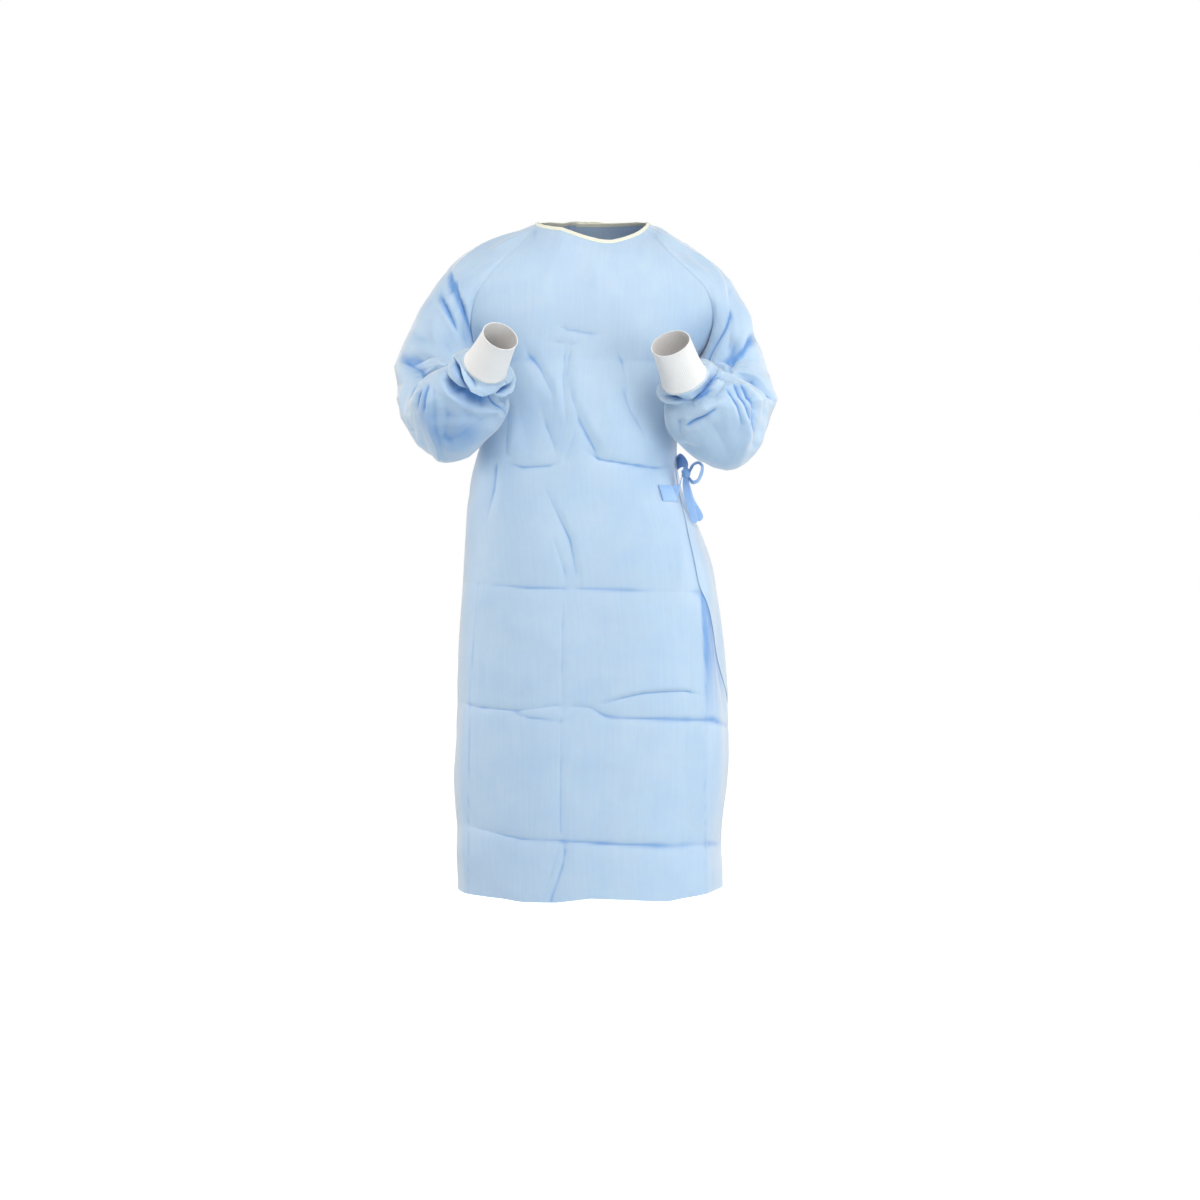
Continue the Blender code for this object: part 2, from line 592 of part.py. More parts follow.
def on_panel(panel, row, column, lift):
    """Point off a panel's own faces, between the corners of the face at a row and a column."""
    low_row, low_column = int(row), int(column)
    part_row, part_column = row - low_row, column - low_column
    total = np.zeros(3)
    for row_step, row_share in ((0, 1.0 - part_row), (1, part_row)):
        for column_step, column_share in ((0, 1.0 - part_column), (1, part_column)):
            number = panel["numbers"][low_row + row_step, low_column + column_step]
            corner = panel["points"][number] + panel["normals"][number] * lift
            total += corner * row_share * column_share
    return total


def laid_rows(panel, sizes):
    """The three points across a strap that lies on a panel along a level line."""
    rows = []
    for step in range(sizes["steps"] + 1):
        column = sizes["from"] + (sizes["to"] - sizes["from"]) * step / sizes["steps"]
        downs = [sizes["down"] + sizes["half"] * side for side in (-1.0, 0.0, 1.0)]
        rows.append([on_panel(panel, row_of(down), column, sizes["gap"] + STRAP_WALL) for down in downs])
    return rows


def knot(material):
    ball = bmesh.new()
    bmesh.ops.create_uvsphere(ball, u_segments=KNOT["sides"], v_segments=KNOT["rings"], radius=1.0)
    bmesh.ops.scale(ball, vec=KNOT["radii"], verts=ball.verts)
    points = [vertex.co for vertex in ball.verts]
    faces = [[vertex.index for vertex in face.verts] for face in ball.faces]
    item = add_object("tie_knot", points, faces, material)
    item.location = KNOT["place"]
    ball.free()


def build():
    clear_scene()
    cloth = finish_material("gown_cloth")
    knit = finish_material("knit_cuff")
    bound = finish_material("neck_binding")
    tie = finish_material("tie")
    pieces = [front_panel(cloth), under_back_panel(cloth), wrap_back_panel(cloth)]
    front, _, wrap = pieces
    for side in SIDE:
        pieces += [sleeve(side, cloth), cuff(side, knit)]
    pieces.append(neck_binding(bound))
    share_normals(pieces)
    for piece in pieces:
        pull_in(piece, SEAM_GAP / 2.0)
    straps = [
        strap("tie_front_strap", laid_rows(front, FRONT_STRAP) + free_rows(FRONT_STRAP_END), tie, flip=True),
        strap("tie_side_strap", laid_rows(wrap, SIDE_STRAP) + free_rows(SIDE_STRAP_END), tie),
        strap("tie_loop", free_rows(TIE_LOOP), tie),
        strap("tie_tail_long", free_rows(TIE_TAIL_LONG), tie),
        strap("tie_tail_short", free_rows(TIE_TAIL_SHORT), tie),
    ]
    for piece in pieces + straps:
        add_wall(piece)
    knot(tie)


build()
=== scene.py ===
import math

import bpy
import numpy as np
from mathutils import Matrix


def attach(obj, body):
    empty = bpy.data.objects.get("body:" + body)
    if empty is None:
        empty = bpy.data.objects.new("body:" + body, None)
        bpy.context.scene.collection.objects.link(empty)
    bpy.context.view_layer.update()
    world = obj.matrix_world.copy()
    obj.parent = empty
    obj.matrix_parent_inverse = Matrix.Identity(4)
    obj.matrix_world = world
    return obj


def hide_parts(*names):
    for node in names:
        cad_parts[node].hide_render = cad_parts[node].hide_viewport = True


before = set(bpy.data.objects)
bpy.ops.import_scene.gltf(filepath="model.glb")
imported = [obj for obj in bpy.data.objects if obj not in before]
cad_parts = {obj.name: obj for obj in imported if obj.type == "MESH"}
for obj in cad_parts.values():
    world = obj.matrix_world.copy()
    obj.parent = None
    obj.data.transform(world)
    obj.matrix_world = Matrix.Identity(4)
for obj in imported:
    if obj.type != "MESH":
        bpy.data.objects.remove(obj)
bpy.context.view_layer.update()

# Metres, unless a note says mm. -Y is in front of the wearer, +X at the wearer's left, the neck at the origin.

# a table in mm turned into metres, from its first length to the columns at the end that are no lengths
def inMetres(table, first, others=0):
    rows = np.array(table, float)
    rows[:, first:rows.shape[1] - others] /= 1000
    return rows


def smoothRows(table, at):
    rows = np.array(table, float)
    at = np.asarray(at, float)
    knots = rows[:, 0]
    slopes = np.gradient(rows[:, 1:], knots, axis=0)
    low = np.clip(np.searchsorted(knots, at) - 1, 0, len(knots) - 2)
    span = (knots[low + 1] - knots[low])[..., None]
    part = (at - knots[low])[..., None] / span
    start, end = rows[low, 1:], rows[low + 1, 1:]
    bend = part * part * (3 - 2 * part)
    easeIn = part * (1 - part) ** 2
    easeOut = part * part * (1 - part)
    return start + (end - start) * bend + span * (slopes[low] * easeIn - slopes[low + 1] * easeOut)


def smoothStep(value, low, high):
    part = np.clip((value - low) / (high - low), 0, 1)
    return part * part * (3 - 2 * part)


# the last axis put together, and taken apart
def stacked(*parts):
    return np.stack(parts, axis=-1)


def apart(values):
    return np.moveaxis(values, -1, 0)


def unit(vectors):
    return vectors / np.maximum(np.linalg.norm(vectors, axis=-1, keepdims=True), 1e-12)


def gridNormals(points, closed=False):
    along = np.gradient(points, axis=0)
    if closed:
        wide = np.concatenate((points[:, -2:-1], points, points[:, 1:2]), axis=1)
        across = (wide[:, 2:] - wide[:, :-2]) / 2
    else:
        across = np.gradient(points, axis=1)
    return unit(np.cross(along, across))


noise = {"cells": 64, "offset": 31.7, "facetOffset": 400}
# two waves each way that bend the lattice of the facets: radians for each cell across and along
facetWaves = {"bend": 0.35, "across": ((0, 1.9), (0.8, 1.3)), "along": ((1.7, 0), (1.1, -0.9))}


# soft random relief, the same on each run: one value for each point, about -1 to 1
def unevenness(points, size, seed):
    cells = noise["cells"]
    lattice = np.random.default_rng(seed).uniform(-1, 1, (cells, cells, cells))
    where = points / size + noise["offset"]
    cell = np.floor(where).astype(int)
    part = smoothStep(where - cell, 0, 1)
    total = np.zeros(points.shape[:-1])
    for corner in range(8):
        step = np.array([corner & 1, corner >> 1 & 1, corner >> 2 & 1])
        index = (cell + step) % cells
        total += np.prod(np.where(step, part, 1 - part), axis=-1) * lattice[tuple(apart(index))]
    return total


# the flat facets of papery cloth: random heights on a bent triangle lattice, straight between its corners
def facets(across, along, size, seed):
    rng = np.random.default_rng(seed)
    heights = rng.uniform(-1, 1, (noise["cells"], noise["cells"]))
    phases = rng.uniform(0, 2 * np.pi, 4)
    x, y = across / size, along / size
    wave = lambda way, turns: facetWaves["bend"] * sum(
        np.sin(one * x + two * y + turn) for (one, two), turn in zip(facetWaves[way], turns))
    x, y = x + wave("across", phases[:2]), y + wave("along", phases[2:])
    one, two = x - y / math.sqrt(3) + noise["facetOffset"], 2 * y / math.sqrt(3) + noise["facetOffset"]
    low, high = np.floor(one).astype(int), np.floor(two).astype(int)
    partOne, partTwo = one - low, two - high
    start, right, up, end = (heights[(low + stepOne) % noise["cells"], (high + stepTwo) % noise["cells"]]
                             for stepOne, stepTwo in ((0, 0), (1, 0), (0, 1), (1, 1)))
    near = start + partOne * (right - start) + partTwo * (up - start)
    far = end + (1 - partOne) * (up - end) + (1 - partTwo) * (right - end)
    return np.where(partOne + partTwo < 1, near, far)


# the worn form: a yoke from the neckline to the underarm, then level sections down to the hem
underarmRow = 6
body = {
    "bodyRows": 13, "packing": 1.15, "top": 0.245, "hem": 1.152,
    "yokePower": 2.0, "foldFullness": 0.7,
    # each half's first column in the centre lines and the yokes, its turn's column, its middle and squareness
    "front": (0, 0, 6, 0, 0.3), "back": (3, 6, 7, 180, 0.2),
}

# in mm: station, front x y z, back x y z, front turn, back turn
centreLines = inMetres((
    (0, 16, -78, -41, 0, 85, 6, 70, 62),
    (1, 14, -96, -64, 0, 104, -26, 60, 52),
    (2, 11, -111, -94, 0, 118, -66, 53, 48),
    (3, 8, -123, -129, 0, 126, -114, 52, 50),
    (4, 5, -132, -170, 0, 130, -162, 62, 62),
    (5, 2, -137, -209, 0, 130, -206, 76, 76),
    (6, 0, -138, -245, 0, 128, -245, 90, 90),
), 1, 2)

# in mm: station, front seam x y z, shoulder top x y z, back seam x y z, depth, front turn, back turn
yokes = {
    "right": inMetres((
        (0, -94, -22, -7, -98, 26, 3, -78, 62, 6, 75, 40, 30),
        (1, -130, -66, -48, -150, 20, -16, -110, 98, -42, 104, 56, 48),
        (2, -168, -88, -90, -201, 16, -39, -148, 116, -90, 113, 67, 62),
        (3, -196, -94, -132, -246, 12, -70, -178, 116, -137, 107, 86, 82),
        (4, -206, -84, -176, -284, 6, -122, -192, 96, -182, 99, 115, 113),
        (5, -202, -50, -214, -315, 0, -182, -195, 50, -218, 95, 149, 148),
        (6, -185, -5, -245, -341, -5, -245, -185, -5, -245, 92, 180, 180),
    ), 1, 2),
    "left": inMetres((
        (0, 96, -22, -8, 100, 26, 3, 80, 62, 6, 75, 40, 30),
        (1, 124, -64, -48, 138, 20, -17, 110, 98, -42, 104, 56, 48),
        (2, 163, -87, -88, 179, 16, -43, 146, 116, -90, 113, 67, 62),
        (3, 196, -94, -126, 217, 12, -72, 174, 116, -137, 107, 86, 82),
        (4, 206, -84, -170, 252, 6, -113, 186, 96, -182, 99, 115, 113),
        (5, 197, -50, -212, 279, 0, -176, 186, 50, -218, 95, 149, 148),
        (6, 175, -5, -245, 303, -5, -245, 175, -5, -245, 92, 180, 180),
    ), 1, 2),
}

# in mm: down, right, left, front, back, mid, front power, back power
sections = inMetres((
    (245, 185, 175, -138, 128, -5, 2.3, 2.2),
    (290, 180, 165, -144, 130, 0, 2.3, 2.2),
    (340, 180, 154, -148, 128, 6, 2.3, 2.2),
    (400, 198, 146, -150, 123, 12, 2.3, 2.2),
    (440, 209, 148, -151, 122, 15, 2.3, 2.2),
    (480, 214, 159, -152, 125, 18, 2.4, 2.2),
    (530, 219, 181, -154, 132, 24, 2.5, 2.2),
    (590, 223, 203, -157, 142, 30, 2.6, 2.2),
    (660, 227, 215, -160, 152, 36, 2.7, 2.2),
    (750, 230, 226, -163, 163, 42, 2.7, 2.2),
    (870, 235, 236, -168, 172, 48, 2.6, 2.2),
    (960, 238, 235, -172, 178, 50, 2.5, 2.2),
    (1060, 235, 226, -176, 184, 52, 2.4, 2.2),
    (1152, 233, 228, -180, 190, 54, 2.3, 2.2),
), 0, 2)

# soft folds: top, bottom, top angle, bottom angle, spread, height
bodyFolds = (
    (0.46, 1.30, 60, 50, 12, 0.0050),
    (0.52, 1.00, 72, 66, 11, -0.0060),
    (0.50, 1.30, -62, -58, 12, 0.0040),
    (0.46, 1.30, 122, 132, 14, 0.0080),
    (0.42, 1.20, 146, 153, 12, -0.0070),
    (0.48, 1.30, 168, 176, 13, 0.0090),
    (0.44, 1.25, 192, 199, 12, -0.0070),
    (0.50, 1.30, 214, 221, 13, 0.0080),
    (0.55, 1.30, 243, 240, 13, -0.0060),
)


def reach(turn, power):
    return (np.abs(np.sin(turn)) ** power + np.abs(np.cos(turn)) ** power) ** (-1 / power)


def downAt(row):
    part = np.maximum(0, (row - underarmRow) / body["bodyRows"]) ** body["packing"]
    return body["top"] + (body["hem"] - body["top"]) * part


def rowOf(down):
    part = (down - body["top"]) / (body["hem"] - body["top"])
    return underarmRow + body["bodyRows"] * part ** (1 / body["packing"])


def yokeSurface(row, angle, inFront):
    station = (len(centreLines) - 1) * row / underarmRow
    centre = smoothRows(centreLines, station)
    onRight = ((angle < 0) | (angle > 180))[..., None]
    seam = np.where(onRight, smoothRows(yokes["right"], station), smoothRows(yokes["left"], station))
    place, seamPlace, turnPlace, middle, squarer = body["front"] if inFront else body["back"]
    start, end = centre[..., place:place + 3], seam[..., seamPlace:seamPlace + 3]
    power = body["yokePower"] + squarer * row / underarmRow
    full = np.radians(centre[..., turnPlace])
    turn = full * np.abs(angle - middle) / 90
    out = reach(turn, power) * np.sin(turn) / (reach(full, power) * np.sin(full))
    fall = (1 - reach(turn, power) * np.cos(turn)) / (1 - reach(full, power) * np.cos(full))
    return start + (end - start) * stacked(out, fall, fall)


def foldHeight(down, angle):
    total = np.zeros(np.broadcast(down, angle).shape)
    for top, bottom, topAngle, bottomAngle, spread, height in bodyFolds:
        part = np.clip((down - top) / (bottom - top), 0, 1)
        aside = (angle - topAngle - (bottomAngle - topAngle) * part) / spread
        total += height * np.sin(np.pi * part) ** body["foldFullness"] * np.exp(-aside * aside)
    return total


def sectionSurface(down, angle):
    values = smoothRows(sections, down)
    right, left, front, back, mid, frontPower, backPower = apart(values)
    turn = np.radians(angle)
    inFront = np.cos(turn) >= 0
    far = reach(turn, np.where(inFront, frontPower, backPower))
    half = np.where(np.sin(turn) >= 0, left, right)
    deep = np.where(inFront, mid - front, back - mid)
    raised = foldHeight(down, angle)
    across = (half * far + raised) * np.sin(turn)
    return stacked(across, mid - (deep * far + raised) * np.cos(turn), -down)


def bodySurface(row, angle, inFront):
    row, angle = np.broadcast_arrays(np.asarray(row, float), np.asarray(angle, float))
    upper = yokeSurface(np.minimum(row, underarmRow), angle, inFront)
    lower = sectionSurface(downAt(np.maximum(row, underarmRow)), angle)
    return np.where((row <= underarmRow)[..., None], upper, lower)


# the camera; creases are placed as they are seen from it
eye = {"place": (0.0138, -5.0, -0.6505), "lens": 86.7, "sensor": 36.0}


# where points are seen from the front, in mm across and down on the upright plane through the neck
def frontView(points):
    x, y, z = apart(points)
    ex, ey, ez = eye["place"]
    scale = -ey / (y - ey)
    return stacked(ex + (x - ex) * scale, -(ez + (z - ez) * scale)) * 1000


# the same for the back, with no perspective
def backView(points):
    return stacked(points[..., 0], -points[..., 2]) * 1000


# also the trough depth in mm that gets full painted shade, and the width in mm of the painted shade line in a
# narrow trough
creaseShape = {
    "softest": 2.4,  # softer creases than this have no line and no shade of their own
    "lipAt": 1.7, "lipWidth": 0.7, "paintedLineWidth": 1.7, "fullShade": 6, "lineReach": 2.5, "lineSoft": 0.6,
}
# how points slide towards creases: the faintest crease, how far apart two are, the pull, the flattest slope
gathering = {"faintest": 0.05, "apart": 4, "pull": 0.7, "firm": 2, "flattest": 0.6}


# distance in mm to a path of (across, down, strength) rows, signed by side, and the strength there
def nearPath(seen, path):
    rows = np.array(path, float)
    best = np.full(seen.shape[:-1], 1e9)
    side, strength = np.ones(best.shape), np.zeros(best.shape)
    for start, end in zip(rows[:-1], rows[1:]):
        line = end[:2] - start[:2]
        offset = seen - start[:2]
        part = np.clip(offset @ line / line.dot(line), 0, 1)
        distance = np.linalg.norm(offset - part[..., None] * line, axis=-1)
        closer = distance < best
        turned = line[0] * offset[..., 1] - line[1] * offset[..., 0]
        best = np.where(closer, distance, best)
        side = np.where(closer, np.where(turned >= 0, 1.0, -1.0), side)
        strength = np.where(closer, start[2] + (end[2] - start[2]) * part, strength)
    return best * side, strength


# a crease is a row: height in mm, how far in mm it reaches before and after its path, how soft it is, its path.
# Going down a path, before is on its left as worn; going right as seen, before is above.
# With a lip, the cloth beside a crease rises a little the other way.
def addCreases(seen, creases, lip=0.0):
    total = np.zeros(seen.shape[:-1])
    for height, before, after, soft, *path in creases:
        distance, strength = nearPath(seen, path)
        away = (np.sqrt(distance ** 2 + soft ** 2) - soft) / np.where(distance < 0, before, after)
        beside = np.exp(-((away - creaseShape["lipAt"]) / creaseShape["lipWidth"]) ** 2)
        total += height / 1000 * strength * (np.exp(-away) - lip * beside)
    return total


# creases that reach only this far on one side, in mm
def narrowOnes(creases, narrow):
    return [crease for crease in creases if min(crease[1:3]) <= narrow]


def troughs(creases):
    return [crease for crease in creases if crease[0] < 0 and crease[3] < creaseShape["softest"]]


# how much painted shade the creases put on the cloth: beside each trough, and in the line of a narrow one
def paintedCreaseShade(seen, creases, looks):
    total = np.zeros(seen.shape[:-1])
    for height, before, after, _, *path in troughs(creases):
        distance, strength = nearPath(seen, path)
        full = looks["shade"] * min(1, -height / creaseShape["fullShade"])
        paintedShade = full * np.exp(-np.abs(distance) / np.where(distance < 0, before, after))
        if min(before, after) <= looks["narrow"]:
            paintedShade = paintedShade + looks["line"] * np.exp(-(distance / creaseShape["paintedLineWidth"]) ** 2)
        total = np.maximum(total, np.minimum(1, strength) * paintedShade)
    return total


# slides the points of a grid along the cloth towards the nearest crease, so that its bottom stays crisp
def gatherPoints(points, creases, weight, far):
    seen = frontView(points)
    fields = [nearPath(seen, crease[4:]) for crease in creases]
    gaps = np.array([np.where(strength > gathering["faintest"], np.abs(distance), 1e3)
                     for distance, strength in fields])
    nearest, second = np.sort(gaps, axis=0)[:2]
    alone = smoothStep(second - nearest, 0, gathering["apart"]) * weight
    rowStep, columnStep = np.gradient(points, axis=0), np.gradient(points, axis=1)
    moved = np.zeros(points.shape)
    for (distance, strength), gap in zip(fields, gaps):
        near = np.minimum(1, np.abs(distance) / far)
        pull = gathering["pull"] * np.minimum(1, strength * gathering["firm"]) * alone * (gap <= nearest)
        rowSlope, columnSlope = np.gradient(distance)
        slope = np.maximum(rowSlope ** 2 + columnSlope ** 2, gathering["flattest"])
        shift = distance * (near - 1) * pull / slope
        moved += (shift * rowSlope)[..., None] * rowStep + (shift * columnSlope)[..., None] * columnStep
    return points + moved


# the thin line at the bottom of each narrow crease
def sharpLines(creases, height, narrow):
    reach, soft = creaseShape["lineReach"], creaseShape["lineSoft"]
    return [(height, reach, reach, soft, *crease[4:]) for crease in narrowOnes(troughs(creases), narrow)]


def gridFaces(rows, columns, closedFrom=None):
    numbers = np.arange(rows * columns).reshape(rows, columns)
    if closedFrom is not None:
        numbers[closedFrom:, -1] = numbers[closedFrom:, 0]
    corners = (numbers[:-1, :-1], numbers[1:, :-1], numbers[1:, 1:], numbers[:-1, 1:])
    return np.stack(corners, axis=-1).reshape(-1, 4)


# distances along a grid's rows and columns in metres, so that a pattern keeps its size on the cloth
def gridMap(points):
    across = np.linalg.norm(np.diff(points, axis=1), axis=-1).cumsum(axis=1)
    across = np.pad(across, ((0, 0), (1, 0)))
    across -= across[:, -1:] / 2
    along = np.linalg.norm(np.diff(points, axis=0), axis=-1).mean(axis=1).cumsum()
    along = np.pad(along, (1, 0))[:, None] + np.zeros(points.shape[1])
    return stacked(across, -along)


def addObject(name, data):
    item = bpy.data.objects.new(name, data)
    bpy.context.scene.collection.objects.link(item)
    return item


def addPiece(name, points, faces, material, clothMap=None, paintedShadeMask=None, sharp=50):
    mesh = bpy.data.meshes.new(name)
    mesh.vertices.add(len(points))
    mesh.vertices.foreach_set("co", points.astype(np.float32).ravel())
    mesh.loops.add(faces.size)
    mesh.loops.foreach_set("vertex_index", faces.astype(np.int32).ravel())
    mesh.polygons.add(len(faces))
    mesh.polygons.foreach_set("loop_start", np.arange(len(faces), dtype=np.int32) * faces.shape[1])
    mesh.update(calc_edges=True)
    mesh.validate()
    if clothMap is not None:
        layer = mesh.uv_layers.new(name="cloth")
        order = np.zeros(len(mesh.loops), np.int32)
        mesh.loops.foreach_get("vertex_index", order)
        layer.data.foreach_set("uv", clothMap[order].astype(np.float32).ravel())
    # painted shade: how much each point takes, kept on the mesh for its finish to darken the cloth
    if paintedShadeMask is not None:
        mesh.attributes.new("paintedShadeMask", "FLOAT", "POINT").data.foreach_set("value", paintedShadeMask.astype(np.float32))
    mesh.shade_smooth()
    mesh.set_sharp_from_angle(angle=math.radians(sharp))
    mesh.materials.append(material)
    return addObject(name, mesh)


def blurred(values, passes):
    values = values.copy()
    for _ in range(passes):
        values[1:-1] = (values[:-2] + 2 * values[1:-1] + values[2:]) / 4
        values[:, 1:-1] = (values[:, :-2] + 2 * values[:, 1:-1] + values[:, 2:]) / 4
    return values


valleyShade = {"spread": 2, "depth": 0.0012, "blur": 1}


# how far each point of a grid lies below the points around it, about 0 to 1: where creases get painted shade
def hollowness(points, normals, depth):
    rows, columns = (np.arange(count) for count in points.shape[:2])
    spread = valleyShade["spread"]
    total = np.zeros(points.shape[:2])
    for rowStep, columnStep in ((spread, 0), (0, spread), (spread, spread), (spread, -spread)):
        ends = [points[np.ix_(np.clip(rows + way * rowStep, 0, rows[-1]),
                              np.clip(columns + way * columnStep, 0, columns[-1]))] for way in (1, -1)]
        total += np.maximum(0, (((ends[0] + ends[1]) / 2 - points) * normals).sum(axis=-1))
    return blurred(np.clip(total / (4 * depth), 0, 1), valleyShade["blur"])


# a grid of points as a closed thin shell: the points are its outer face
def addShell(name, points, wall, material, closedFrom=None, flip=False, depth=valleyShade["depth"], paintedShade=0):
    closed = closedFrom == 0
    normals = gridNormals(points, closed)
    if closedFrom:
        closedPart = gridNormals(points, True)
        normals[closedFrom:, [0, -1]] = closedPart[closedFrom:, [0, -1]]
    if flip:
        normals = -normals
    # painted shade: the grid's hollows plus the painted shade given for it
    paintedShadeMask = (hollowness(points, normals, depth) + paintedShade).ravel()
    faces = gridFaces(*points.shape[:2], closedFrom)
    if flip:
        faces = faces[:, ::-1]
    clothMap = gridMap(points).reshape(-1, 2)
    outer, normals = points.reshape(-1, 3), normals.reshape(-1, 3)
    count = len(outer)
    edges = np.concatenate([faces[:, [corner, (corner + 1) % 4]] for corner in range(4)])
    known, reverse = edges[:, 0] * count + edges[:, 1], edges[:, 1] * count + edges[:, 0]
    rim = edges[~np.isin(reverse, known)]
    rimFaces = stacked(rim[:, 1], rim[:, 0], rim[:, 0] + count, rim[:, 1] + count)
    allFaces = np.concatenate((faces, faces[:, ::-1] + count, rimFaces))
    allPoints = np.concatenate((outer, outer - normals * wall))
    used = np.unique(allFaces)
    fresh = np.zeros(2 * count, int)
    fresh[used] = np.arange(len(used))
    double = lambda values: np.concatenate((values, values))[used]
    return addPiece(name, allPoints[used], fresh[allFaces], material, double(clothMap), double(paintedShadeMask))


fineSteps = 4000


# row or column places that lie closer together near some centres
def packed(low, high, count, centres, spread, extra):
    fine = np.linspace(low, high, fineSteps)
    density = 1 + extra * sum(np.exp(-((fine - centre) / spread) ** 2) for centre in centres)
    total = np.concatenate(([0], np.cumsum((density[1:] + density[:-1]) / 2)))
    return np.interp(np.linspace(0, total[-1], count), total, fine)


def addGroup(name, inputs, outputs, treeKind="ShaderNodeTree"):
    group = bpy.data.node_groups.new(name, treeKind)
    for socketName, kind, value in inputs:
        socket = group.interface.new_socket(socketName, in_out="INPUT", socket_type="NodeSocket" + kind)
        if value is not None:
            socket.default_value = value
    for socketName, kind in outputs:
        group.interface.new_socket(socketName, in_out="OUTPUT", socket_type="NodeSocket" + kind)
    return group, group.nodes.new("NodeGroupInput"), group.nodes.new("NodeGroupOutput")


def addNode(tree, kind, values=None, **settings):
    node = tree.nodes.new(kind)
    for key, value in settings.items():
        setattr(node, key, value)
    for key, value in (values or {}).items():
        if isinstance(value, bpy.types.NodeSocket):
            tree.links.new(value, node.inputs[key])
        else:
            node.inputs[key].default_value = value
    return node


def mathNode(tree, operation, first, second):
    return addNode(tree, "ShaderNodeMath", {0: first, 1: second}, operation=operation).outputs[0]


def remapped(tree, value, low, high, top=1.0, kind="LINEAR"):
    values = {"Value": value, "From Min": low, "From Max": high, "To Max": top}
    return addNode(tree, "ShaderNodeMapRange", values, interpolation_type=kind).outputs[0]


def mixColours(tree, share, first, second):
    return addNode(tree, "ShaderNodeMix", {0: share, 6: first, 7: second}, data_type="RGBA").outputs[2]


def mapping(tree, vector, scale, turn=0):
    values = {"Vector": vector, "Rotation": (0, 0, math.radians(turn)), "Scale": scale}
    return addNode(tree, "ShaderNodeMapping", values).outputs[0]


def clothPlace(tree):
    return addNode(tree, "ShaderNodeUVMap", uv_map="cloth").outputs[0]


def objectPlace(tree):
    return addNode(tree, "ShaderNodeTexCoord").outputs["Object"]


# the painted shade mask kept on the points
def paintedShadeHere(tree):
    return addNode(tree, "ShaderNodeAttribute", attribute_name="paintedShadeMask").outputs["Fac"]


# bonded nonwoven: small pressed dots in a skew grid, fibre streaks along the cloth and a cloudy thickness
def bondedGrainGroup():
    group, given, made = addGroup(
        "bondedGrain",
        (("Map", "Vector", None), ("Place", "Vector", None), ("Dots per metre", "Float", 620.0),
         ("Streaks per metre", "Float", 210.0), ("Clouds per metre", "Float", 16.0)),
        (("Height", "Float"), ("Streak", "Float"), ("Cloud", "Float")),
    )
    dots = addNode(group, "ShaderNodeTexVoronoi", {
        "Vector": mapping(group, given.outputs["Map"], (1, 0.8, 1), 38),
        "Scale": given.outputs["Dots per metre"], "Randomness": 0.12,
    }, voronoi_dimensions="2D")
    pressed = remapped(group, dots.outputs["Distance"], 0.14, 0.42, kind="SMOOTHSTEP")
    streak = addNode(group, "ShaderNodeTexNoise", {
        "Vector": mapping(group, given.outputs["Map"], (1, 0.05, 1)),
        "Scale": given.outputs["Streaks per metre"], "Detail": 3.0,
    }, noise_dimensions="2D").outputs["Fac"]
    cloud = addNode(group, "ShaderNodeTexNoise", {
        "Vector": given.outputs["Place"], "Scale": given.outputs["Clouds per metre"], "Detail": 4.0,
        "Roughness": 0.6,
    }).outputs["Fac"]
    shares = {"dots": 0.35, "streak": 0.9}
    height = mathNode(group, "ADD", mathNode(group, "MULTIPLY", pressed, shares["dots"]),
                      mathNode(group, "MULTIPLY", streak, shares["streak"]))
    for socketName, socket in (("Height", height), ("Streak", streak), ("Cloud", cloud)):
        group.links.new(socket, made.inputs[socketName])
    return group


# a finish with its plain settings
def principled(name, settings):
    material = bpy.data.materials.new(name)
    material.use_nodes = True
    tree = material.node_tree
    shader = tree.nodes["Principled BSDF"]
    for key, value in settings.items():
        shader.inputs[key].default_value = value
    return material, tree, shader


# a finish's colour, and the fine relief that it has
def dress(tree, shader, colour, height=None, strength=0.5, depth=0.0002):
    tree.links.new(colour, shader.inputs["Base Color"])
    if height is not None:
        bump = addNode(tree, "ShaderNodeBump", {"Strength": strength, "Distance": depth, "Height": height})
        tree.links.new(bump.outputs[0], shader.inputs["Normal"])


bondedGrain = bondedGrainGroup()

# lit and pale are the cloth's own colours, mixed by its grain; rim is painted sheen where the cloth is seen
# edgeways; deep is painted shade in creases
clothLooks = {
    "gownCloth": {
        "lit": (0.420, 0.568, 0.740, 1), "pale": (0.525, 0.650, 0.765, 1), "rim": (0.640, 0.690, 0.750, 1),
        "deep": (0.150, 0.330, 0.640, 1), "grainDepth": 0.00022,
    },
    "tieCloth": {
        "lit": (0.250, 0.445, 0.760, 1), "pale": (0.400, 0.580, 0.830, 1), "rim": (0.500, 0.670, 0.880, 1),
        "deep": (0.160, 0.330, 0.700, 1), "grainDepth": 0.00018,
    },
}
# from where to where each effect grows, and how much of its colour it then has; the rim paints sheen and the
# shade mask paints shade
clothShares = {
    "cloud": (0.3, 0.75, 0.55), "streak": (0.3, 0.7, 0.20), "rim": (0.55, 0.95, 0.6, "SMOOTHSTEP"),
    "paintedShadeMask": (0.15, 1.20, 1.0, "SMOOTHSTEP"),
}


